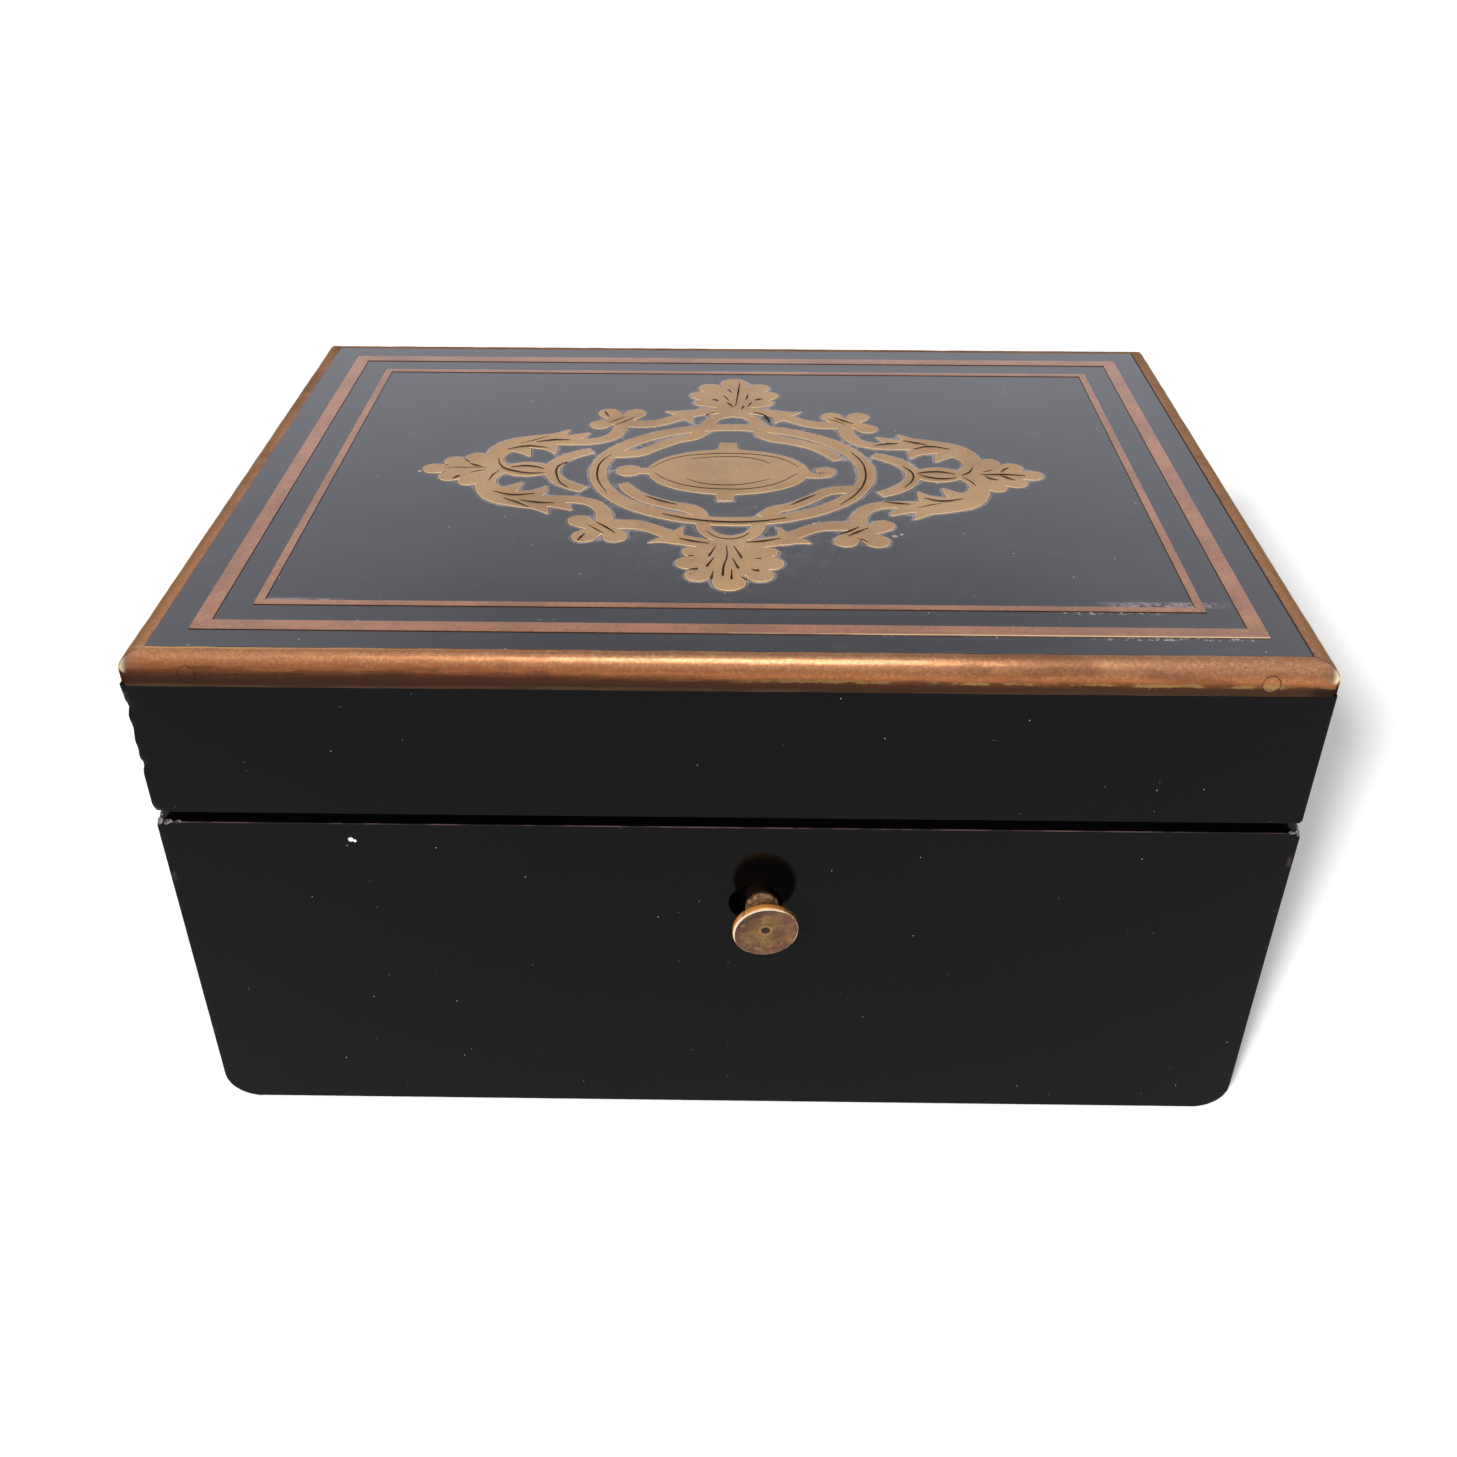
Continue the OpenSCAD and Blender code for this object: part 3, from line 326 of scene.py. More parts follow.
def beadFinish():
    look = {"left": [(0.0, (0.05, 0.02, 0.012)), (0.2, (0.07, 0.026, 0.014)), (0.38, (0.16, 0.055, 0.021)),
                     (0.56, (0.5, 0.188, 0.065)), (0.8, (0.45, 0.2, 0.087)), (1.0, (0.37, 0.176, 0.081))],
            "right": [(0.0, (0.055, 0.026, 0.014)), (0.22, (0.072, 0.031, 0.016)), (0.4, (0.165, 0.06, 0.023)),
                      (0.58, (0.53, 0.206, 0.072)), (0.8, (0.46, 0.206, 0.09)), (1.0, (0.38, 0.182, 0.086))],
            "dull": (0.3, 0.19, 0.115), "olive": (0.36, 0.215, 0.072), "stain": (0.17, 0.058, 0.022),
            "red": (0.36, 0.105, 0.036), "gold": (0.68, 0.4, 0.15), "fringe": (0.12, 0.078, 0.042),
            "low": 74.0, "high": 78.0}
    pin = {"x": 66.5, "z": 75.7, "r": 1.1}
    material, start = newFinish("edgeBrass")
    x, y, z = axes(start)
    streaks = noise(stretched(start, (45.0, 45.0, 700.0)), 1.0, 4.0)
    clouds = noise(start, 75.0)
    mottle = noise(stretched(start, (300.0, 300.0, 620.0)), 1.0, 6.0, 0.72)
    grain = noise(start, 1500.0, 2.0)
    brushed = noise(stretched(start, (110.0, 110.0, 2600.0)), 1.0, 5.0, 0.65)
    speckle = noise(start, 2200.0, 2.0, 0.6)
    # The ramps run from near black at the bottom of the bead to gold at the top: patina, and painted shade for the
    # darker surroundings mirrored in the lower face. Here worn is this height mix with noise, not wear.
    level = (z - look["low"] * mm) * (1 / ((look["high"] - look["low"]) * mm))
    along = past(x, -80, 80)
    loose = level + along * 0.26 - 0.64 + (clouds - 0.5) * 0.14 + (streaks - 0.5) * 0.18
    worn = loose + (mottle - 0.5) * 0.26 + (brushed - 0.5) * 0.3 + (speckle - 0.5) * 0.16
    ramps = [start.node("ValToRGB", {"stops": look[side]}, {0: worn * 1.05 + 0.42}) for side in ("left", "right")]
    upper = fade(loose, -0.15, 0.2)
    line = fade(worn, -0.16, -0.08) * (1 - fade(worn, -0.06, 0.02)) * past(x, -15, 25)
    marks = nicks(start, 5.0, (0.3, 0.0, 0.9), 1.6, 0.03)
    pits = nicks(start, 4.0, (0.0, 0.0, 0.2), 2.0, 0.06, 0.15)
    stain = fade(noise(stretched(start, (60.0, 60.0, 240.0)), 1.0, 5.0, 0.62), 0.52, 0.64)
    ends = most(past(abs(x), 72.2, 74.0), past(y, 40, 53))
    colour = mix(along, *ramps)
    reddened = fade(worn, -0.04, 0.05) * (1 - fade(worn, 0.14, 0.32))
    colour = mix(reddened * 0.5, colour, look["red"])
    colour = mix(upper * fade(speckle * 0.6 + brushed * 0.4, 0.47, 0.62) * 0.5, colour, look["red"])
    colour = mix(upper * (1 - fade(speckle, 0.34, 0.5)) * 0.28, colour, look["gold"])
    rubbed = 0.1 + fade(streaks, 0.45, 0.62) * 0.4
    fringe = 1 - fade(level + (clouds - 0.5) * 0.2, 0.04, 0.14)
    colour = mix(fringe * rubbed, colour, look["fringe"])
    lip = band(y, -53.1, -52.7, 0.06) * (1 - past(x, -62, -25))
    colour = mix(lip * 0.7, colour, look["gold"])
    # Painted reflection: the side and back strips dulled towards grey for their grazing reflection.
    colour = mix(ends * upper * 0.75, colour, look["dull"])
    colour = mix(stain * upper * 0.5, colour, look["stain"])
    colour = mix(line * fade(noise(start, 420.0, 3.0), 0.42, 0.62) * 0.8, colour, look["olive"])
    colour = mix(marks * 0.8, colour, (0.9, 0.62, 0.34))
    colour = mix(pits * 0.8, colour, (0.03, 0.018, 0.012))
    # Dark colour low on the bead, from the right end of the front strip round the right side.
    darkPatch = past(x, 70.5, 72.8) * (1 - past(z + (clouds - 0.5) * (2 * mm), 74.7, 75.5))
    colour = mix(darkPatch * 0.75, colour, (0.016, 0.011, 0.009))
    corner = past(abs(x), 73.7, 74.5) * (1 - past(y, -54.9, -53.6))
    glint = corner * band(z + (clouds - 0.5) * (1.2 * mm), 75.9, 77.4, 0.25) * (0.65 + along * 0.35)
    colour = mix(glint, colour, (1.0, 0.83, 0.55))
    dx = x - pin["x"] * mm
    dz = z - pin["z"] * mm
    away = (dx * dx + dz * dz).root()
    front = 1 - past(y, -52, -50)
    ring = band(away, pin["r"] - 0.06, pin["r"] + 0.1, 0.05) * front
    pale = (1 - past(away, pin["r"] - 0.1, pin["r"])) * front
    colour = mix(pale * (1 - past(dz, -0.2, 0.5)) * 0.22, colour, look["gold"])
    colour = mix(ring * 0.5, colour, (0.05, 0.026, 0.016))
    mitre = 1 - past(abs(abs(x) + y - 19.5 * mm), 0.06, 0.13)
    colour = mix(mitre * (0.25 + along * 0.65), colour, (0.015, 0.009, 0.007))
    height = clouds * 0.8 + streaks * 0.4 + mottle * 0.5 + grain * 0.12 - pits * 0.8 - marks * 0.4
    return closeFinish(material, start, {
        "Base Color": colour, "Metallic": 1.0, "Roughness": 0.24 + mottle * 0.2 + stain * 0.1 + pits * 0.2,
        "Specular Tint": (0.5, 0.36, 0.27, 1), "Coat Weight": (upper * 0.35 + 0.05) * (1 - ends * 0.8),
        "Coat Roughness": 0.16, "Normal": bump(height, 0.03 * mm, 0.7)})


def knobFinish():
    look = {"patina": (0.2, 0.094, 0.064), "olive": (0.29, 0.165, 0.066), "bright": (1.0, 0.78, 0.55),
            "side": (0.85, 0.36, 0.08), "stem": (0.27, 0.14, 0.06), "rust": (0.06, 0.022, 0.013),
            "faceY": -60.45, "headY": -59.3, "headR": 4.4}
    material, start = newFinish("knobBrass")
    centre = Vector((knob["x"], knob["front"] - knob["pivot"], knob["z"])) * mm
    back = Matrix.Rotation(-knob["lean"], 3, "Z") @ Matrix.Rotation(-knob["droop"], 3, "X")
    straight = start.node("Mapping", {}, {"Vector": start, "Location": centre - back @ centre,
                                          "Rotation": (-knob["droop"], 0.0, -knob["lean"])})
    x, y, z = axes(straight)
    dx = (x - knob["x"] * mm) * (1 / mm)
    dz = (z - knob["z"] * mm) * (1 / mm)
    radius = (dx * dx + dz * dz).root()
    turned = (radius * 21.0).sine()
    clouds = noise(start, 330.0)
    fine = noise(start, 1300.0, 4.0, 0.65)
    streak = noise(stretched(start, (900.0, 200.0, 900.0)), 1.0, 4.0)
    front = (1 - past(y, look["faceY"], look["faceY"] + 0.05)) * (1 - fade(radius, 4.36, 4.4))
    head = 1 - past(y, look["headY"], look["headY"] + 0.8)
    # The bright rim is rubbed metal; it is painted wider at the upper left as a painted highlight. Here worn is that
    # upper-left mask, not wear.
    worn = fade(dz - dx * 0.8 + (clouds - 0.5) * 3.0, 1.0, 4.6)
    rim = fade(radius + worn * 0.3 + (clouds - 0.5) * 0.35 + (fine - 0.5) * 0.25,
               look["headR"] - 0.13, look["headR"] - 0.03)
    ring = fade(radius + (clouds - 0.5) * 0.4, 0.6, 0.72) * (1 - fade(radius + (fine - 0.5) * 0.5, 0.85, 1.05))
    pit = 1 - fade(radius + (fine - 0.5) * 0.3, 0.5, 0.68)
    scratch = nicks(start, 1.2, (0.0, 0.6, 0.0), 3.0, 0.07, 0.3)
    face = mix(fade(clouds - radius * 0.05 + streak * 0.3, 0.32, 0.66), look["patina"], look["olive"])
    # Purple-brown patina towards the upper left, with painted shadow under the rim at the top.
    face = mix(fade(dz * 1.2 - dx, 0.0, 6.0) * 0.75, face, (0.075, 0.032, 0.024))
    face = mix(fade(fine + turned * 0.08, 0.42, 0.68) * 0.6, face, (0.085, 0.04, 0.024))
    face = mix(fade(streak + turned * 0.05, 0.56, 0.72) * 0.5, face, (0.46, 0.27, 0.1))
    face = mix(ring * 0.45, face, (0.45, 0.29, 0.11))
    # The centre dimple and the scratches are coloured dark: grime, with painted shade in the dimple.
    face = mix(most(pit, scratch * 0.6), face, (0.03, 0.02, 0.014))
    side = mix(fade(streak, 0.48, 0.66) * 0.6, look["side"], look["patina"])
    stem = mix(fade(fine * 0.5 + streak * 0.5, 0.42, 0.6), look["stem"], look["rust"])
    # Painted shade: the stem darkened where it goes back into the hole.
    stem = mix(past(y, -56.0, -55.3), stem, (0.012, 0.007, 0.005))
    side = mix(head, stem, side)
    colour = mix(front, side, face)
    colour = mix(rim * front, colour, look["bright"])
    rough = 0.38 - rim * 0.14 + clouds * 0.1 + pit * 0.4
    return closeFinish(material, start, {
        "Base Color": colour, "Metallic": 0.4 + front * 0.6 - pit * front * 0.8, "Roughness": rough,
        "Normal": bump(turned * 0.3 + clouds + streak * 0.4 + fine * 0.4, 0.02 * mm, 0.6)})


def metalFinish(name, light, dark, rough):
    material, start = newFinish(name)
    clouds = noise(start, 140.0)
    rubs = noise(stretched(start, (60.0, 700.0, 700.0)), 1.0, 3.0)
    colour = mix(fade(clouds, 0.35, 0.68), light, dark)
    return closeFinish(material, start, {
        "Base Color": colour, "Metallic": 1.0, "Roughness": rough + clouds * 0.15,
        "Normal": bump(rubs + clouds * 0.5, 0.01 * mm, 0.6)})


def bareWoodFinish():
    material, start = newFinish("bareWood")
    rings = noise(stretched(start, (16.0, 190.0, 190.0)), 1.0, 6.0, 0.6)
    pores = noise(stretched(start, (60.0, 1500.0, 1500.0)), 1.0, 2.0)
    colour = mix(rings, (0.21, 0.125, 0.06), (0.34, 0.215, 0.115))
    colour = mix(fade(pores, 0.58, 0.7) * 0.5, colour, (0.09, 0.05, 0.025))
    return closeFinish(material, start, {
        "Base Color": colour, "Roughness": 0.62 + rings * 0.15,
        "Normal": bump(rings * 0.4 - pores * 0.6, 0.05 * mm, 0.7)})


def satinFinish():
    look = {"bloom": (0.25, 0.034, 0.052), "shade": (0.14, 0.018, 0.03), "thread": 0.24}
    material, start = newFinish("satin")
    x, y, z = axes(start)
    pitch = 2 * math.pi / (look["thread"] * mm)
    warp = ((x + z) * pitch).sine()
    weft = ((y + z) * (pitch * 0.45)).sine()
    faded = noise(start, 26.0, 3.0)
    slubs = noise(stretched(start, (60.0, 1400.0, 1400.0)), 1.0, 2.0)
    colour = mix(fade(faded, 0.3, 0.72), look["shade"], look["bloom"])
    colour = mix(fade(slubs, 0.6, 0.75) * 0.3, colour, (0.34, 0.08, 0.095))
    return closeFinish(material, start, {
        "Base Color": colour, "Roughness": 0.4 + faded * 0.16, "Sheen Weight": 0.2, "Sheen Roughness": 0.35,
        "Sheen Tint": (0.8, 0.35, 0.38, 1), "Specular IOR Level": 0.45,
        "Normal": bump(warp * 0.5 + weft * 0.25 + slubs, 0.03 * mm, 0.5)})


knob = {"x": 5.0, "z": 39.6, "front": -55.5, "steps": 72,
        "lean": math.radians(5.5), "droop": math.radians(4.5), "pivot": 2.2,
        # radius and reach out from the front board, tail first
        "turning": [(0.0, -4.6), (1.2, -4.45), (1.95, -4.12), (1.95, 0.15), (2.1, 0.25), (2.28, 0.45), (2.3, 0.7),
                    (2.2, 0.9), (2.0, 1.05), (1.95, 1.3), (1.98, 2.75), (2.02, 2.95), (2.15, 3.2), (2.45, 3.55),
                    (2.95, 3.9), (3.6, 4.18), (4.1, 4.36), (4.32, 4.55), (4.4, 4.8), (4.42, 5.1), (4.42, 5.4),
                    (4.38, 5.54), (4.3, 5.6), (4.2, 5.58), (4.0, 5.5), (3.4, 5.4), (2.6, 5.33), (1.4, 5.28),
                    (0.85, 5.26), (0.62, 5.3), (0.5, 5.2), (0.3, 5.05), (0.0, 5.0)]}
ebonised = ebonisedFinish()
brokenLacquer = brokenFinish()
veneer = veneerFinish()
gilt = giltFinish()
grooveGrimeAndShade = inkFinish()
stringBrass = stringFinish()
edgeBrass = beadFinish()
knobBrass = knobFinish()
hingeBrass = metalFinish("hingeBrass", (0.5, 0.33, 0.15), (0.28, 0.17, 0.08), 0.34)
steel = metalFinish("steel", (0.42, 0.41, 0.4), (0.2, 0.18, 0.16), 0.3)
bareWood = bareWoodFinish()
satin = satinFinish()
print("finishes made")


def only(piece):
    bpy.ops.object.select_all(action="DESELECT")
    piece.select_set(True)
    bpy.context.view_layer.objects.active = piece


def edit(piece, kind="VERT"):
    only(piece)
    bpy.ops.object.mode_set(mode="EDIT")
    bpy.ops.mesh.select_mode(type=kind)
    bpy.ops.mesh.select_all(action="SELECT")


def done():
    bpy.ops.object.mode_set(mode="OBJECT")


def applyAll(piece):
    only(piece)
    for modifier in list(piece.modifiers):
        bpy.ops.object.modifier_apply(modifier=modifier.name)


def place(name, data):  # a new object in the scene
    made = bpy.data.objects.new(name, data)
    bpy.context.scene.collection.objects.link(made)
    return made


def choose(piece, kind, test):  # selects the faces or edges that pass
    edit(piece, kind)
    bpy.ops.mesh.select_all(action="DESELECT")
    shape = bmesh.from_edit_mesh(piece.data)
    for part in shape.faces if kind == "FACE" else shape.edges:
        if test(part):
            part.select_set(True)
    bmesh.update_edit_mesh(piece.data)


def slices(points, normal):  # cuts right across the piece in hand
    for point in points:
        bpy.ops.mesh.select_all(action="SELECT")
        bpy.ops.mesh.bisect(plane_co=point, plane_no=normal)


def lathe(name, points, centre, axis, steps):  # a profile spun right round
    bpy.ops.mesh.primitive_plane_add(size=mm, location=(0, 0, 0))
    piece = bpy.context.object
    piece.name = piece.data.name = name
    edit(piece)
    bpy.ops.mesh.merge(type="CENTER")
    bpy.ops.transform.translate(value=points[0])
    for here, there in zip(points, points[1:]):
        bpy.ops.mesh.extrude_region_move(TRANSFORM_OT_translate={"value": there - here})
    bpy.ops.mesh.select_all(action="SELECT")
    bpy.ops.mesh.spin(steps=steps, angle=2 * math.pi, center=centre, axis=axis)
    bpy.ops.mesh.select_all(action="SELECT")
    bpy.ops.mesh.remove_doubles(threshold=0.004 * mm)
    bpy.ops.mesh.normals_make_consistent(inside=False)
    done()
    return piece


def copyNode(node, name):  # a welded copy of a CAD node, flat faces joined up
    piece = place(name, nodes[node].data.copy())
    piece.data.name = name
    piece.data.materials.clear()
    edit(piece)
    bpy.ops.mesh.remove_doubles(threshold=0.002 * mm)
    bpy.ops.mesh.customdata_custom_splitnormals_clear()
    bpy.ops.mesh.dissolve_limited(angle_limit=math.radians(0.4))
    done()
    return piece


def easeEdges(piece, width, steps=2, least=0.0, pick=None):  # bevels the sharp edges
    def wanted(line):
        sharp = len(line.link_faces) == 2 and line.calc_face_angle() > math.radians(32)
        return sharp and line.calc_length() > least * mm and (pick is None or pick(line))

    choose(piece, "EDGE", wanted)
    bpy.ops.mesh.bevel(offset=width * mm, segments=steps, profile=0.6, affect="EDGES")
    done()


def dress(piece, finish, body, slot, *replaced, angle=35):
    if not piece.data.materials:
        piece.data.materials.append(finish)
    only(piece)
    if angle:
        bpy.ops.object.shade_smooth_by_angle(angle=math.radians(angle))
        level = piece.modifiers.new("level", "WEIGHTED_NORMAL")
        level.keep_sharp = True
        level.weight = 100
        applyAll(piece)
    else:
        bpy.ops.object.shade_flat()
    if body:
        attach(piece, body)
    if replaced:
        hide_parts(*replaced)
    return piece


def carve(piece, cutter):  # the cut faces take the cutter's material
    cut = piece.modifiers.new("cut", "BOOLEAN")
    cut.object = cutter
    cut.solver = "EXACT"
    cut.use_self = True
    cut.material_mode = "TRANSFER"
    applyAll(piece)
    bpy.data.objects.remove(cutter)


def paint(finish, *names):  # CAD nodes that stay as they are
    for name in names:
        nodes[name].data.materials.clear()
        nodes[name].data.materials.append(finish)


def camel(node, tail=""):
    first, *rest = node.split("_")
    return first + "".join(word.capitalize() for word in rest) + tail


sides = ("front", "back", "left", "right")

boards = {"arris": 0.15, "rim": 0.06, "steps": 3, "least": 4.0, "seam": (53.0, 54.3), "half": (75.0, 55.5),
          "ease": 0.8, "square": 0.8, "foot": 4.8, "footCuts": 8,
          "drop": 0.35, "dropped": (52.5, 53.1), "dropFrom": 30.0, "wideFrom": 70.5, "wideOver": 4.0,
          "wide": {"case": (0.35, 0.3), "lid": (0.28, 0.08)}}  # how far each side stands out, left and right
wornHole = {"x": 5.0, "z": 39.6, "floor": -54.3, "reach": 4.0, "deeper": 5.0, "past": 0.8, "wider": 0.15,
            "back": -49.0}
knocks = {"corner": (-75.0, -55.5), "reach": 2.2, "step": 0.6, "cuts": 32,
          "dents": [(72.4, 0.1, 1.2), (70.6, 0.34, 1.3), (67.4, 0.2, 1.8),  # height, depth and half height
                    (64.2, 0.12, 1.2), (61.8, 0.3, 1.1), (54.4, 0.3, 0.7)]}
leftChips = [(-75.3, -55.5, 52.9, 1.0), (-73.8, -55.6, 52.9, 0.7), (-72.4, -55.6, 52.85, 0.5),
             (-75.4, -54.2, 52.9, 0.6)]  # place and radius
rightChips = [(75.3, -55.5, 52.9, 0.9), (74.0, -55.6, 52.9, 0.55), (75.4, -54.5, 52.9, 0.5)]
lidChips = [(75.35, -55.5, 54.2, 0.6), (75.4, -55.4, 57.6, 0.36)]
chipped = {"case_front": leftChips + rightChips, "case_left": leftChips, "case_right": rightChips,
           "lid_front": lidChips, "lid_right": lidChips}


def knock(piece):  # dents pressed into the lid's left front corner
    inner = Vector((*knocks["corner"], 0)) + Vector((1, 1, 0)) * knocks["reach"]
    heights = [boards["seam"][1] + i * knocks["step"] for i in range(1, knocks["cuts"] + 1)]
    edit(piece)
    slices([(0, 0, height * mm) for height in heights], (0, 0, 1))
    for side in ((1, 0, 0), (0, 1, 0)):
        slices([inner * mm], side)
    done()
    for v in piece.data.vertices:
        away = max(abs(v.co[i] / mm - knocks["corner"][i]) for i in (0, 1))
        if away < knocks["reach"]:
            deep = sum(depth * math.exp(-2 * ((v.co.z / mm - z) / half) ** 2) for z, depth, half in knocks["dents"])
            push = deep * (1 - away / knocks["reach"]) * mm
            v.co.x += push
            v.co.y += push


def sharpen(piece, wide):  # the rounded upright corners drawn out nearly square
    for v in piece.data.vertices:
        dx, dy = (abs(v.co[i]) / mm - boards["half"][i] + boards["ease"] for i in (0, 1))
        if dx > 0.01 and dy > 0.01 and v.co.y < 0:  # the back corners turn past each other
            draw = boards["square"] * (math.hypot(dx, dy) / max(dx, dy) - 1)
            v.co.x += math.copysign(dx * draw * mm, v.co.x)
            v.co.y += math.copysign(dy * draw * mm, v.co.y)
        if v.co.z / mm < boards["foot"]:  # the foot's round kept under the drawn corner
            rise = boards["foot"] - max(0, v.co.z / mm)
            reach = boards["half"][0] - boards["foot"] + math.sqrt(boards["foot"] ** 2 - rise ** 2)
            v.co.x = math.copysign(min(abs(v.co.x), reach * mm), v.co.x)
        outer = min(1, max(0, (abs(v.co.x) / mm - boards["wideFrom"]) / boards["wideOver"]))
        v.co.x += (wide[1] if v.co.x > 0 else -wide[0]) * outer * mm
        low, high = boards["dropped"]
        if max(dx, dy) > 0 and low < v.co.z / mm < high:  # the case's rim worn down at the front
            ahead = min(1, max(0, (1 - v.co.y / mm / boards["dropFrom"]) / 2))
            v.co.z -= boards["drop"] * ahead * ahead * (3 - 2 * ahead) * mm


def chip(piece, places):  # small flakes broken off
    flakes = []
    for k, (x, y, z, r) in enumerate(places):
        bpy.ops.mesh.primitive_ico_sphere_add(subdivisions=2, radius=r * mm, location=(x * mm, y * mm, z * mm))
        flake = bpy.context.object
        edit(flake)
        bpy.ops.transform.vertex_random(offset=r * 0.3 * mm, seed=k + 1)
        done()
        flakes.append(flake)
    for flake in flakes:
        flake.select_set(True)
    bpy.context.view_layer.objects.active = flakes[0]
    bpy.ops.object.join()
    bpy.ops.object.transform_apply(location=True, rotation=True, scale=True)
    flakes[0].data.materials.append(brokenLacquer)
    carve(piece, flakes[0])


def atSeam(line):
    return all(min(abs(v.co.z - z * mm) for z in boards["seam"]) < 0.02 * mm for v in line.verts)


def holeFloor(face):
    mid = face.calc_center_median() / mm
    away = math.hypot(mid.x - wornHole["x"], mid.z - wornHole["z"])
    return abs(mid.y - wornHole["floor"]) < 0.05 and away < wornHole["reach"]


def wearHole(piece):  # the button's hole, worn deep and wide to the left
    choose(piece, "FACE", holeFloor)
    bpy.ops.transform.translate(value=(0, wornHole["deeper"] * mm, 0))
    done()
    for v in piece.data.vertices:
        left = wornHole["x"] - wornHole["past"] - v.co.x / mm
        near = math.hypot(left, v.co.z / mm - wornHole["z"]) < wornHole["reach"]
        if left > 0 and near and v.co.y / mm < wornHole["back"]:
            v.co.x -= left * wornHole["wider"] * mm


for body in ("case", "lid"):
    for side in sides:
        node = body + "_" + side
        piece = copyNode(node, camel(node, "Board"))
        if node == "case_front":
            wearHole(piece)
        easeEdges(piece, boards["arris"], boards["steps"], boards["least"], lambda line: not atSeam(line))
        easeEdges(piece, boards["rim"], 2, boards["least"], atSeam)
        steps = [(i / boards["footCuts"]) ** 2 for i in range(1, boards["footCuts"] + 1)]
        edit(piece)
        slices([(0, 0, boards["foot"] * step * mm) for step in steps], (0, 0, 1))
        done()
        sharpen(piece, boards["wide"][body])
        if node in ("lid_front", "lid_left"):
            knock(piece)
        if node in chipped:
            piece.data.materials.append(ebonised)
            chip(piece, chipped[node])
        dress(piece, ebonised, body, "ebonised_wood", node)
for body, node, way in (("case", "case_bottom", 1), ("lid", "lid_board", -1)):
    piece = copyNode(node, camel(node, "Panel"))
    easeEdges(piece, boards["rim"], 2, boards["least"])
    piece.data.materials.append(bareWood)
    piece.data.materials.append(satin)
    for face in piece.data.polygons:  # papered red where the lining can be looked past
        face.material_index = 1 if face.normal.z * way > 0.5 else 0
    dress(piece, bareWood, body, "bare_wood", node)
print("boards eased")

ground = {"top": 78.0, "field": (50.0, 39.0), "pitch": 1.0, "lip": 1.0}
piece = copyNode("lid_veneer", "lidVeneerSheet")
edit(piece)
bpy.ops.mesh.quads_convert_to_tris()
for half, side in zip(ground["field"], ((1, 0, 0), (0, 1, 0))):
    slices([Vector(side) * step * ground["pitch"] * mm for step in range(-int(half), int(half) + 1)], side)
done()
cuts = kdtree.KDTree(4 * len(piece.data.polygons))
for face in piece.data.polygons:  # the upright walls of the cuts
    if abs(face.normal.z) < 0.5:
        for v in (piece.data.vertices[i] for i in face.vertices):
            if v.co.z > (ground["top"] - 0.02) * mm and all(abs(v.co[i]) < ground["field"][i] * mm for i in (0, 1)):
                cuts.insert(v.co, v.index)
cuts.balance()
sawn = piece.data.attributes.new("sawn", "FLOAT", "POINT")  # 1 at a cut, 0 away from it
for v in piece.data.vertices:
    sawn.data[v.index].value = max(0, 1 - cuts.find(v.co)[2] / (ground["lip"] * mm))
dress(piece, veneer, "lid", "lid_veneer", "lid_veneer", angle=0)
print("veneer laid")

bead = {"pitch": 1.0, "ends": 0.3, "endCuts": 11, "ease": 0.07, "dentSize": 3.5, "dent": 0.11, "corner": 1.1,
        "half": (75.15, 55.65), "pins": (74.5, 77.3), "shown": (60.0, -50.0)}
dents = bpy.data.textures.new("beadDents", "CLOUDS")
dents.noise_scale = bead["dentSize"] * mm
dents.noise_depth = 2


def atPin(co):  # only the right front pin still shows
    low, high = bead["pins"]
    right, front = bead["shown"]
    return low < co.z < high and (co.x < right or co.y > front)


for side in sides:
    node = "bead_" + side
    piece = copyNode(node, camel(node, "Strip"))
    easeEdges(piece, bead["ease"], 2, 0.5, lambda line: not all(atPin(v.co / mm) for v in line.verts))
    low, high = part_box(node)
    long = 0 if side in ("front", "back") else 1
    across = Vector((1, 0, 0)) if long == 0 else Vector((0, 1, 0))
    half = high[long] / mm
    cuts = [i * bead["ends"] for i in range(1, bead["endCuts"] + 1)]  # close cuts where the corner is rounded
    while cuts[-1] < half:
        cuts.append(cuts[-1] + bead["pitch"])
    edit(piece)
    slices([across * spot * mm for spot in [half - c for c in cuts] + [c - half for c in cuts]], across)
    done()
    for v in piece.data.vertices:
        dx, dy = (abs(v.co[i]) / mm - bead["half"][i] + bead["corner"] for i in (0, 1))
        if dx > 0 and dy > 0:
            pull = 1 - max(dx, dy) / math.hypot(dx, dy)
            v.co.x -= math.copysign(dx * pull * mm, v.co.x)
            v.co.y -= math.copysign(dy * pull * mm, v.co.y)
    dent = piece.modifiers.new("dents", "DISPLACE")
    dent.texture = dents
    dent.strength = bead["dent"] * mm
    applyAll(piece)
    dress(piece, edgeBrass, "lid", "edge_brass", node, angle=40)
paint(edgeBrass, "bead_pins")
print("bead dented")

strings = {"ease": 0.06}
for line in ("outer", "inner"):
    for side in sides:
        node = line + "_string_" + side
        piece = copyNode(node, camel(node))
        easeEdges(piece, strings["ease"], 2)
        dress(piece, stringBrass, "lid", "string_brass", node)
print("stringing laid")

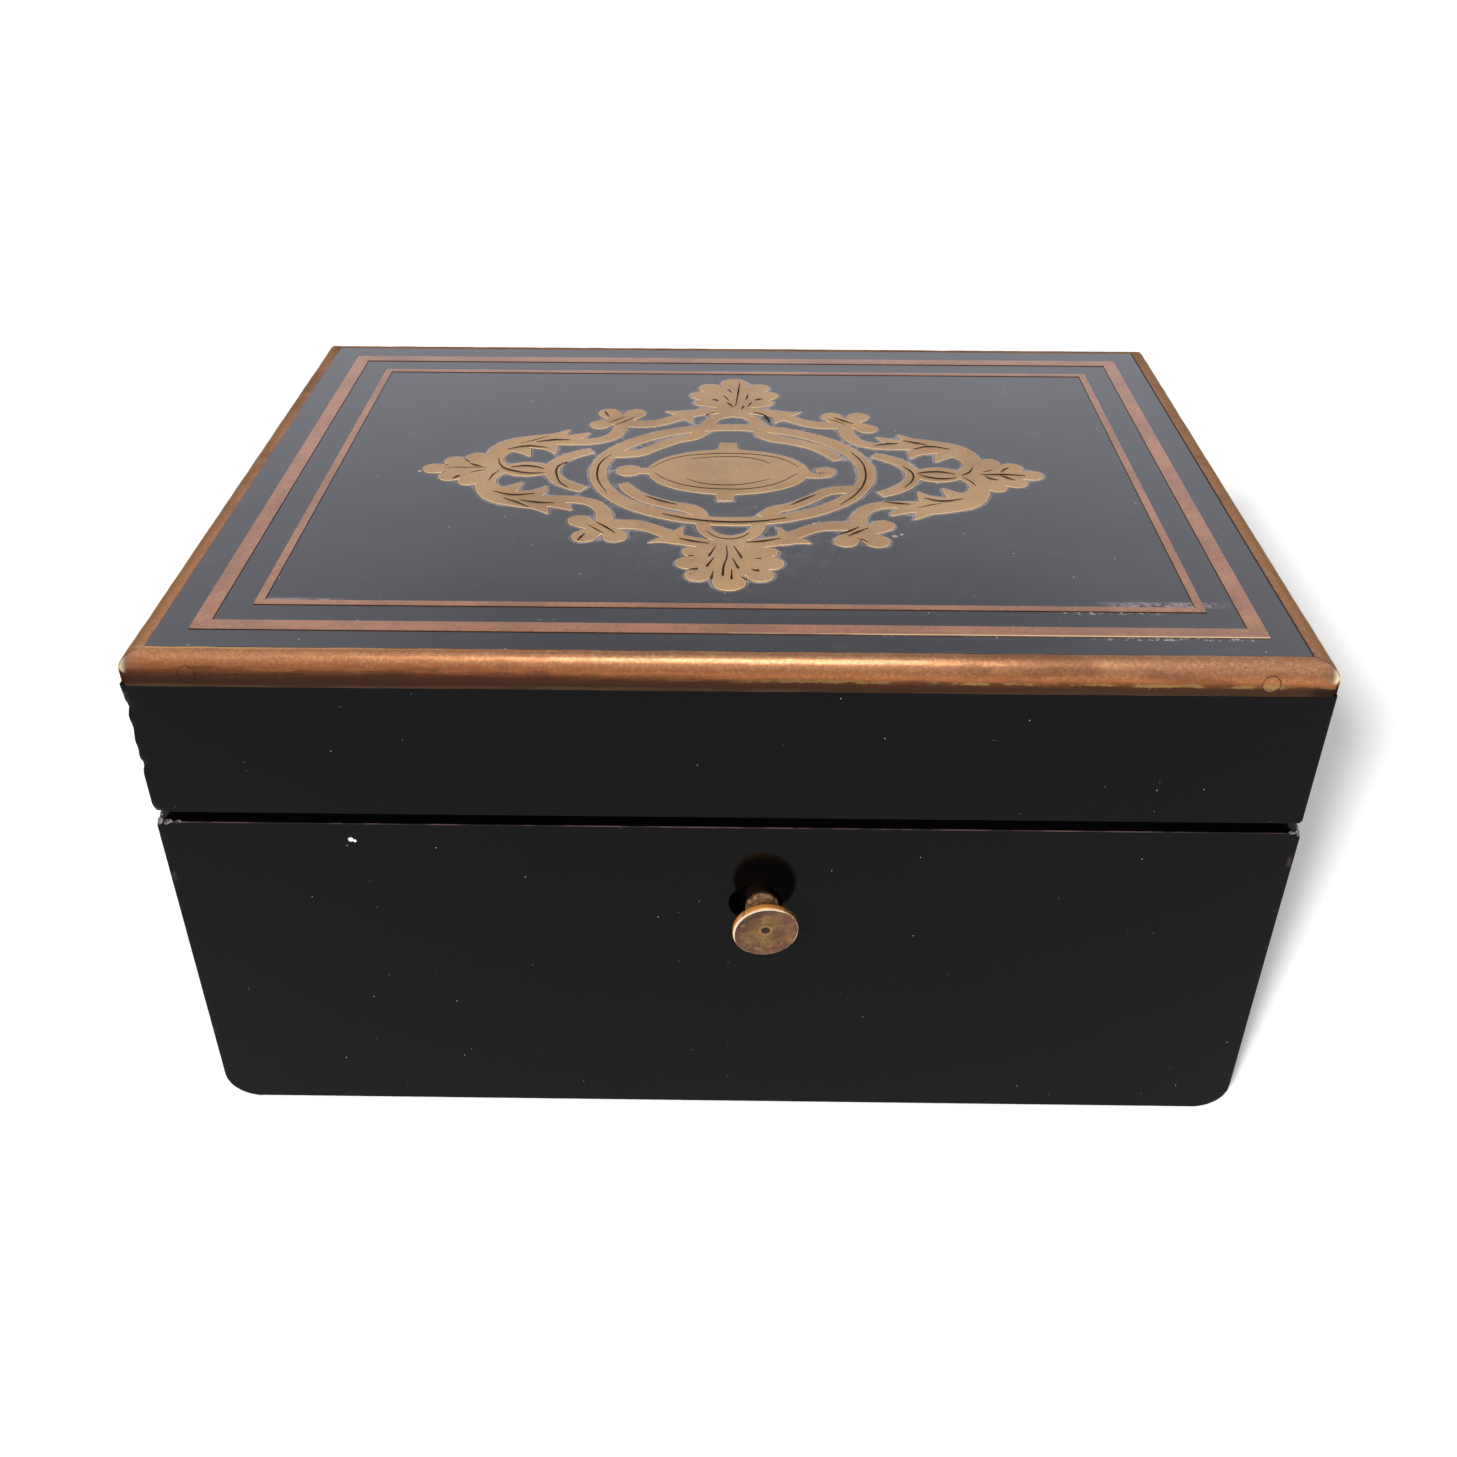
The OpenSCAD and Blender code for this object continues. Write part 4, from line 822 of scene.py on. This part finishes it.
inlay = {"top": 78.12, "ease": 0.11, "width": 0.31, "taper": 0.4}
engraved = {
    "medallion": [  # strokes in millimetres on the lid's top
        [(-12.6, 1), (-9, 4.8), (-4, 6.4), (0, 6.7), (5, 6), (8, 4.5), (10.2, 1.8)],
        [(-6.5, 4.6), (-3, 5.3), (1, 5.4), (4, 4.5), (5.8, 3.1)],
        [(-11.8, -0.8), (-9.5, -3.5), (-6, -5.5), (-1, -6.3), (3, -6), (7, -4), (10, -0.6)],
        [(-6.9, -2.8), (-4.5, -4.3), (-1, -4.9), (2.5, -4.3), (5.7, -2.7)],
        [(12.3, 0.7), (13.2, -0.3), (14.3, -0.4)]],
    "cartouche": [
        [(-19, 6), (-20.3, 3), (-20.6, 0), (-20.2, -3.5), (-18.6, -7.8)],
        [(18.6, 7.5), (20, 4), (20.4, 0.5), (20, -3.5), (18.3, -8), (16, -11.3)],
        [(-10, -14.8), (-6, -16.4), (-1, -17.3), (4, -17), (8, -15.8)],
        [(-12.7, -8.9), (-10.4, -10.5), (-8, -11.7)], [(8.8, -11.5), (10.5, -9.8), (12.5, -8)],
        [(-25.5, 3), (-26.7, 1.5), (-26.9, 0), (-26.6, -2), (-25.8, -4.5), (-24.5, -6.2)],
        [(26.3, 2.2), (27.3, 0.5), (27.6, -1), (27.1, -3.2), (25.9, -5.2)],
        [(-36.3, 4), (-35.9, 2.3), (-35, 0.6), (-33.5, -0.4), (-31, -1.2), (-28.5, -1.1)],
        [(-36.7, -4), (-36.3, -1.8), (-35.6, -0.4)], [(-34, 0.9), (-32, 1.4), (-30.5, 1.2), (-28.8, 0.4)],
        [(37, 2.2), (36.2, 0.3), (35, -0.8)], [(35, -1.3), (36.2, -3.2), (36.6, -4.5)],
        [(34, -0.4), (32, 0.3), (29.5, 0.2), (28.3, -0.2)], [(28.5, -0.6), (30, -1.7), (32, -2.1), (34, -1.7)],
        [(-44.3, 0.6), (-41.3, 0.7), (-37.6, 0.7)], [(-40.5, 2.2), (-39.5, 1.5), (-38.4, 1)],
        [(-40, -1.2), (-38.8, -0.5), (-37.7, -0.1)], [(-42.2, -3.4), (-41.8, -2.7), (-41.2, -2.3)],
        [(-41.6, 3.9), (-41, 3.1), (-40.5, 2.5)], [(-44.7, -2.2), (-44.3, -1.4), (-43.7, -0.9)],
        [(-44.8, 2.3), (-44.2, 1.7), (-43.6, 1.3)], [(37.9, -0.5), (41.2, -0.4), (44.7, -0.7)],
        [(38.3, 0.5), (39.1, 0.8), (40, 1.3)], [(41.1, 0.5), (41.7, 1.4), (42.5, 2.1)],
        [(38.5, -1), (39.2, -1.9), (40.3, -2.4)], [(40.9, -0.8), (41.8, -1.6), (42.8, -2.4)],
        [(-7.2, -22.5), (-5.5, -23.3), (-2.9, -24)], [(2.2, -23.6), (4.5, -23.2), (7, -22.3)],
        [(-3.4, -20.2), (-2, -22), (0, -22.6), (1.7, -21.9), (2.6, -20.7)],
        [(0.9, 36.7), (0.7, 32.5), (0.3, 26.2)], [(-1.1, 33.7), (-0.8, 33), (-0.4, 32)],
        [(-1.8, 30.8), (-1.3, 29.6), (-0.8, 28.3)], [(-1.2, 27.7), (-0.6, 26.7), (-0.1, 25.7)],
        [(2.4, 31.4), (2.2, 30.1), (2, 28.8)], [(3, 27.9), (2.7, 27), (2.3, 25.9)],
        [(-2.6, 28.3), (-3.1, 28.7), (-3.7, 28.8)], [(3.5, 28.8), (4.1, 29.1), (4.9, 29.3)],
        [(1.7, 26.2), (1.5, 25.5), (1.3, 24.8)], [(-3, 23.5), (-4.3, 22.4), (-5.2, 21.1), (-5.7, 19.5)],
        [(3.4, 23.4), (4.7, 22.6), (5.5, 21.4), (5.9, 19.6)]],
    "both halves": [  # the front's strokes, cut again at the back
        [(-35.4, -7.7), (-32.5, -8.9), (-29.2, -8.4)], [(-33.6, -10), (-31.5, -11.4), (-29.5, -13)],
        [(-31.2, -10.6), (-28.5, -11.4), (-26, -11.5)], [(28.5, -8.9), (31, -9.9), (34.2, -9)],
        [(27.2, -12.2), (29, -11.3), (30.8, -10.6)], [(22.5, -10.2), (24.5, -10.8), (26.3, -11)],
        [(-19.3, -17.6), (-17.6, -19.4), (-16.3, -21)], [(-20.4, -18.5), (-19, -20), (-17.9, -21.2)],
        [(-20.5, -21.3), (-21, -22.4), (-21.4, -23.5)], [(18.3, -18.5), (16.8, -19.9), (15.4, -20.8)],
        [(19.5, -18.9), (17.8, -20.3), (16.6, -21.4)], [(17.8, -21.9), (18.6, -22.6), (19.3, -23.3)]],
    "drops": [  # thick at the far end
        [(-2, -24.8), (-2.5, -26.5), (-2.9, -27.8)], [(-2.2, -28.2), (-2.7, -29.6), (-3.1, -30.7)],
        [(-0.5, -24.7), (-0.4, -28), (-0.8, -30.6), (-0.9, -33.3)], [(0.5, -24.7), (1.1, -26.5), (1.6, -28.1)],
        [(0.4, -28.3), (0.8, -29.9), (1.2, -31.2)], [(0.3, -31.6), (0.3, -33), (0.3, -34.4)],
        [(-2.2, -32.2), (-2.3, -33.1), (-2.4, -34)], [(-6.5, -27.8), (-5.8, -27.8), (-5, -27.7)],
        [(-5.5, -31.7), (-4.9, -31.6), (-4.3, -31.5)], [(3.4, -28.4), (3.9, -28.4), (4.3, -28.4)],
        [(3, -31.6), (3.5, -31.8), (4, -31.9)], [(1.6, -33.6), (1.9, -34), (2.3, -34.5)]]}


def engrave(piece, strokes, drops):
    graver = bpy.data.curves.new("graver", "CURVE")
    graver.dimensions = "3D"
    graver.bevel_depth = inlay["width"] / 2 * mm
    graver.bevel_resolution = 1
    graver.resolution_u = 5
    graver.use_fill_caps = True
    for k, stroke in enumerate(strokes + drops):
        spline = graver.splines.new("BEZIER")
        spline.bezier_points.add(len(stroke) - 1)
        for i, (point, (x, y)) in enumerate(zip(spline.bezier_points, stroke)):
            along = i / (len(stroke) - 1)
            swell = math.sin(math.pi * along) if k < len(strokes) else 1.3 * along
            point.co = Vector((x, y, inlay["top"])) * mm
            point.handle_left_type = point.handle_right_type = "AUTO"
            point.radius = inlay["taper"] + (1 - inlay["taper"]) * swell
    only(place("graver", graver))
    bpy.ops.object.convert(target="MESH")
    cutter = bpy.context.object
    cutter.data.materials.append(grooveGrimeAndShade)
    piece.data.materials.append(gilt)
    carve(piece, cutter)


for node in ("cartouche", "medallion"):
    piece = copyNode(node, camel(node, "Plate"))
    easeEdges(piece, inlay["ease"], 2, 0.0,
              lambda line: min(v.co.z for v in line.verts) > (inlay["top"] - 0.05) * mm)
    if node == "medallion":
        engrave(piece, engraved["medallion"], [])
    else:
        back = [[(x, -y) for x, y in stroke] for stroke in engraved["both halves"]]
        engrave(piece, engraved["cartouche"] + engraved["both halves"] + back, engraved["drops"])
    dress(piece, gilt, "lid", "gilt_brass", node, angle=0)
    print(node, "engraved,", len(piece.data.polygons), "faces")

axle = Vector((knob["x"], knob["front"], knob["z"]))
piece = lathe("pushKnob", [(axle + Vector((r, -reach, 0))) * mm for r, reach in knob["turning"]],
               axle * mm, (0, 1, 0), knob["steps"])
edit(piece)
for turn, axis in ((knob["lean"], "Z"), (knob["droop"], "X")):
    bpy.ops.transform.rotate(value=-turn, orient_axis=axis,
                             center_override=(axle - Vector((0, knob["pivot"], 0))) * mm)
done()
dress(piece, knobBrass, "button", "knob_brass", "push_knob", angle=60)
paint(knobBrass, "knob_collar")
print("knob turned")

hardware = {"ease": 0.12, "least": 1.0}
plates = [("case", "latch_plate"), ("lid", "keeper_plate"), ("catch", "catch_lever")]
leaves = [(body, "_".join(("hinge", side, body, "leaf"))) for body in ("case", "lid") for side in ("left", "right")]
for body, node in plates + leaves:
    finish, slot = (steel, "steel") if body == "catch" else (hingeBrass, "hinge_brass")
    piece = copyNode(node, camel(node, "Metal"))
    easeEdges(piece, hardware["ease"], 2, hardware["least"])
    dress(piece, finish, body, slot, node)
spring = {"cuts": 16, "still": 31.0, "pushed": 38.0}  # the leaf bends between these heights
piece = copyNode("return_spring", "returnSpringLeaf")
low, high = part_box("return_spring")
edit(piece)
slices([low.lerp(high, i / spring["cuts"]) for i in range(1, spring["cuts"])], (0, 0, 1))
done()
dress(piece, steel, None, "steel", "return_spring", angle=40)
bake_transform(piece)
paint(steel, "pivot_pin", "latch_screws", "keeper_screws", "hinge_left_pin", "hinge_right_pin",
      "hinge_case_screws", "hinge_lid_screws")
print("hardware fitted")

lining = {"ease": 0.5, "least": 3.0}
for body, stem in (("case", "lining_"), ("lid", "lid_lining_")):
    for side in sides:
        node = stem + side
        piece = copyNode(node, camel(node, "Cover"))
        easeEdges(piece, lining["ease"], 3, lining["least"])
        dress(piece, satin, body, "satin", node)
print("lining covered")

tufts = [(0, 0), (31.55, 21.8), (-31.55, 21.8), (31.55, -21.8), (-31.55, -21.8)]
pads = {"clear": 0.7, "round": 2.6, "voxel": 1.8, "grip": 0.7, "sewn": 2.7, "pull": 0.7, "pressure": 2.5, "frames": 20,
        "floor_pad": {"body": "case", "rest": 5.0, "start": 9.4, "cap": 2.3},
        "lid_pad": {"body": "lid", "rest": 74.0, "start": 70.4, "cap": 2.1}}
for node in ("floor_pad", "lid_pad"):
    plan = pads[node]
    low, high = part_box(node)
    mid = (low + high) / 2
    size = high - low
    bpy.ops.mesh.primitive_cube_add(size=1, location=(mid.x, mid.y, (plan["rest"] + plan["start"]) / 2 * mm))
    piece = bpy.context.object
    piece.name = piece.data.name = camel(node, "Cushion")
    piece.scale = (size.x - 2 * pads["clear"] * mm, size.y - 2 * pads["clear"] * mm,
                   abs(plan["rest"] - plan["start"]) * mm)
    bpy.ops.object.transform_apply(location=True, rotation=True, scale=True)
    # every edge but those it rests on
    choose(piece, "EDGE", lambda line: max(abs(v.co.z - plan["rest"] * mm) for v in line.verts) > 0.1 * mm)
    bpy.ops.mesh.bevel(offset=pads["round"] * mm, segments=4, affect="EDGES")
    done()
    piece.data.remesh_voxel_size = pads["voxel"] * mm
    bpy.ops.object.voxel_remesh()
    held = piece.vertex_groups.new(name="held")
    for v in piece.data.vertices:
        x, y, z = v.co / mm
        near = min(math.hypot(x - tx, y - ty) for tx, ty in tufts)
        if abs(z - plan["rest"]) < pads["grip"]:
            held.add([v.index], 1.0, "REPLACE")
        elif node == "lid_pad" and near < pads["sewn"]:
            held.add([v.index], 1.0, "REPLACE")
            v.co.z += pads["pull"] * mm
    before = [v.co.copy() for v in piece.data.vertices]
    stuffing = piece.modifiers.new("stuffing", "CLOTH")
    stuffing.settings.use_pressure = True
    stuffing.settings.uniform_pressure_force = pads["pressure"]
    stuffing.settings.effector_weights.gravity = 0
    stuffing.settings.vertex_group_mass = "held"
    stuffing.point_cache.frame_start = 1
    stuffing.point_cache.frame_end = pads["frames"]
    for step in range(1, pads["frames"] + 1):
        bpy.context.scene.frame_set(step)
    applyAll(piece)
    bpy.context.scene.frame_set(1)
    for v, was in zip(piece.data.vertices, before):
        move = v.co - was
        if move.length > plan["cap"] * mm:
            v.co = was + move.normalized() * plan["cap"] * mm
    smooth = piece.modifiers.new("smooth", "SUBSURF")
    smooth.levels = smooth.render_levels = 1
    applyAll(piece)
    dress(piece, satin, plan["body"], "satin", node, angle=80)
    print(node, "stuffed,", len(piece.data.polygons), "faces")

tuft = {"steps": 32, "dome": [(0.0, 67.95), (0.9, 68.02), (1.8, 68.25), (2.5, 68.65), (2.9, 69.1), (2.98, 69.5),
                              (2.7, 69.85), (1.8, 70.0), (0.0, 70.05)]}
button = lathe("tuftButton0", [Vector((r, 0, z)) * mm for r, z in tuft["dome"]],
                (0, 0, 0), (0, 0, 1), tuft["steps"])
for i, (x, y) in enumerate(tufts):
    piece = button
    if i:
        piece = place("tuftButton" + str(i), button.data.copy())
        edit(piece)
        bpy.ops.transform.translate(value=(x * mm, y * mm, 0))
        done()
    dress(piece, satin, "lid", "satin", "lid_tufts", angle=60)
print("tufts sewn")

shot = {"place": (1.918, -207.377, 172.133), "right": (0.99991, 0.01319, 0.00284),
        "up": (-0.00979, 0.56391, 0.82578), "back": (0.00929, -0.82573, 0.56399), "lens": 36.247, "sensor": 36.0}
lens = bpy.data.cameras.new("camera")
lens.sensor_width = shot["sensor"]
lens.lens = shot["lens"]
lens.clip_start = 0.005
camera = place("camera", lens)
turn = Matrix((shot["right"], shot["up"], shot["back"])).transposed().to_4x4()
camera.matrix_world = Matrix.Translation(Vector(shot["place"]) * mm) @ turn
bpy.context.scene.camera = camera


def seenRays(start):  # 1 for what is looked at or mirrored, 0 for what only gives light
    return most(*(start.node("LightPath", out="Is " + ray + " Ray") for ray in ("Camera", "Glossy", "Transmission")))


studio = {"floor": 3.0, "floorWhite": 0.84, "lift": 0.3, "sky": 0.98, "frontSky": 0.75, "midSky": 0.48, "fill": 0.24,
          "sun": 4.05, "sunFrom": (-0.78, -1.36, 1.0), "sunSize": 6.0}
bpy.ops.mesh.primitive_plane_add(size=studio["floor"] * 2, location=(0, 0, -0.0001))
floor = bpy.context.object
floor.name = floor.data.name = "floor"
paper, start = newFinish("floorPaper")
white = seenRays(start)
plain = start.node("BsdfDiffuse", {}, {"Color": (studio["floorWhite"],) * 3 + (1,)})
glow = start.node("Emission", {}, {"Strength": white * studio["lift"]})
show(start.node("AddShader", {}, {0: plain, 1: glow}))
floor.data.materials.append(paper)

world = bpy.data.worlds.new("studio")
bpy.context.scene.world = world
world.use_nodes = True
world.node_tree.nodes.clear()
way = world.node_tree.nodes.new("ShaderNodeTexCoord")
start = Wire(world.node_tree, way.outputs["Generated"])
x, y, z = axes(start)
above = fade(z, 0.14, 0.26) * (1 - fade(z, 0.6, 0.78)) * (1 - fade(y, -0.45, 0.1))
behind = fade(z, 0.42, 0.53) * (1 - fade(z, 0.64, 0.76)) * (1 - fade(abs(x), 0.15, 0.36)) * fade(y, 0.2, 0.5)
level = studio["sky"]
level = level - above * (level - studio["frontSky"]) - behind * (level - studio["midSky"])
seen = seenRays(start)
tint = mix(fade(z, 0.12, 0.3) * seen, (1.0, 1.0, 1.0), (0.955, 0.98, 1.1))
light = {"Color": tint, "Strength": level * seen + (1 - seen) * studio["fill"]}
show(start.node("Background", {}, light), "World")

lamp = bpy.data.lights.new("key", "SUN")
lamp.energy = studio["sun"]
lamp.angle = math.radians(studio["sunSize"])
key = place("key", lamp)
key.rotation_euler = Vector(studio["sunFrom"]).to_track_quat("Z", "Y").to_euler()
key.visible_glossy = False

strip = {"place": (0.0, -0.06, 0.62), "aim": (0.0, -0.055, 0.078), "long": 0.18, "wide": 0.26, "power": 0.85}
lamp = bpy.data.lights.new("strip", "AREA")
lamp.shape = "RECTANGLE"
lamp.size = strip["long"]
lamp.size_y = strip["wide"]
lamp.energy = strip["power"]
tube = place("strip", lamp)
tube.location = strip["place"]
tube.rotation_euler = (Vector(strip["place"]) - Vector(strip["aim"])).to_track_quat("Z", "Y").to_euler()
tube.visible_diffuse = False
bpy.context.scene.view_settings.view_transform = "Standard"
print("studio lit")
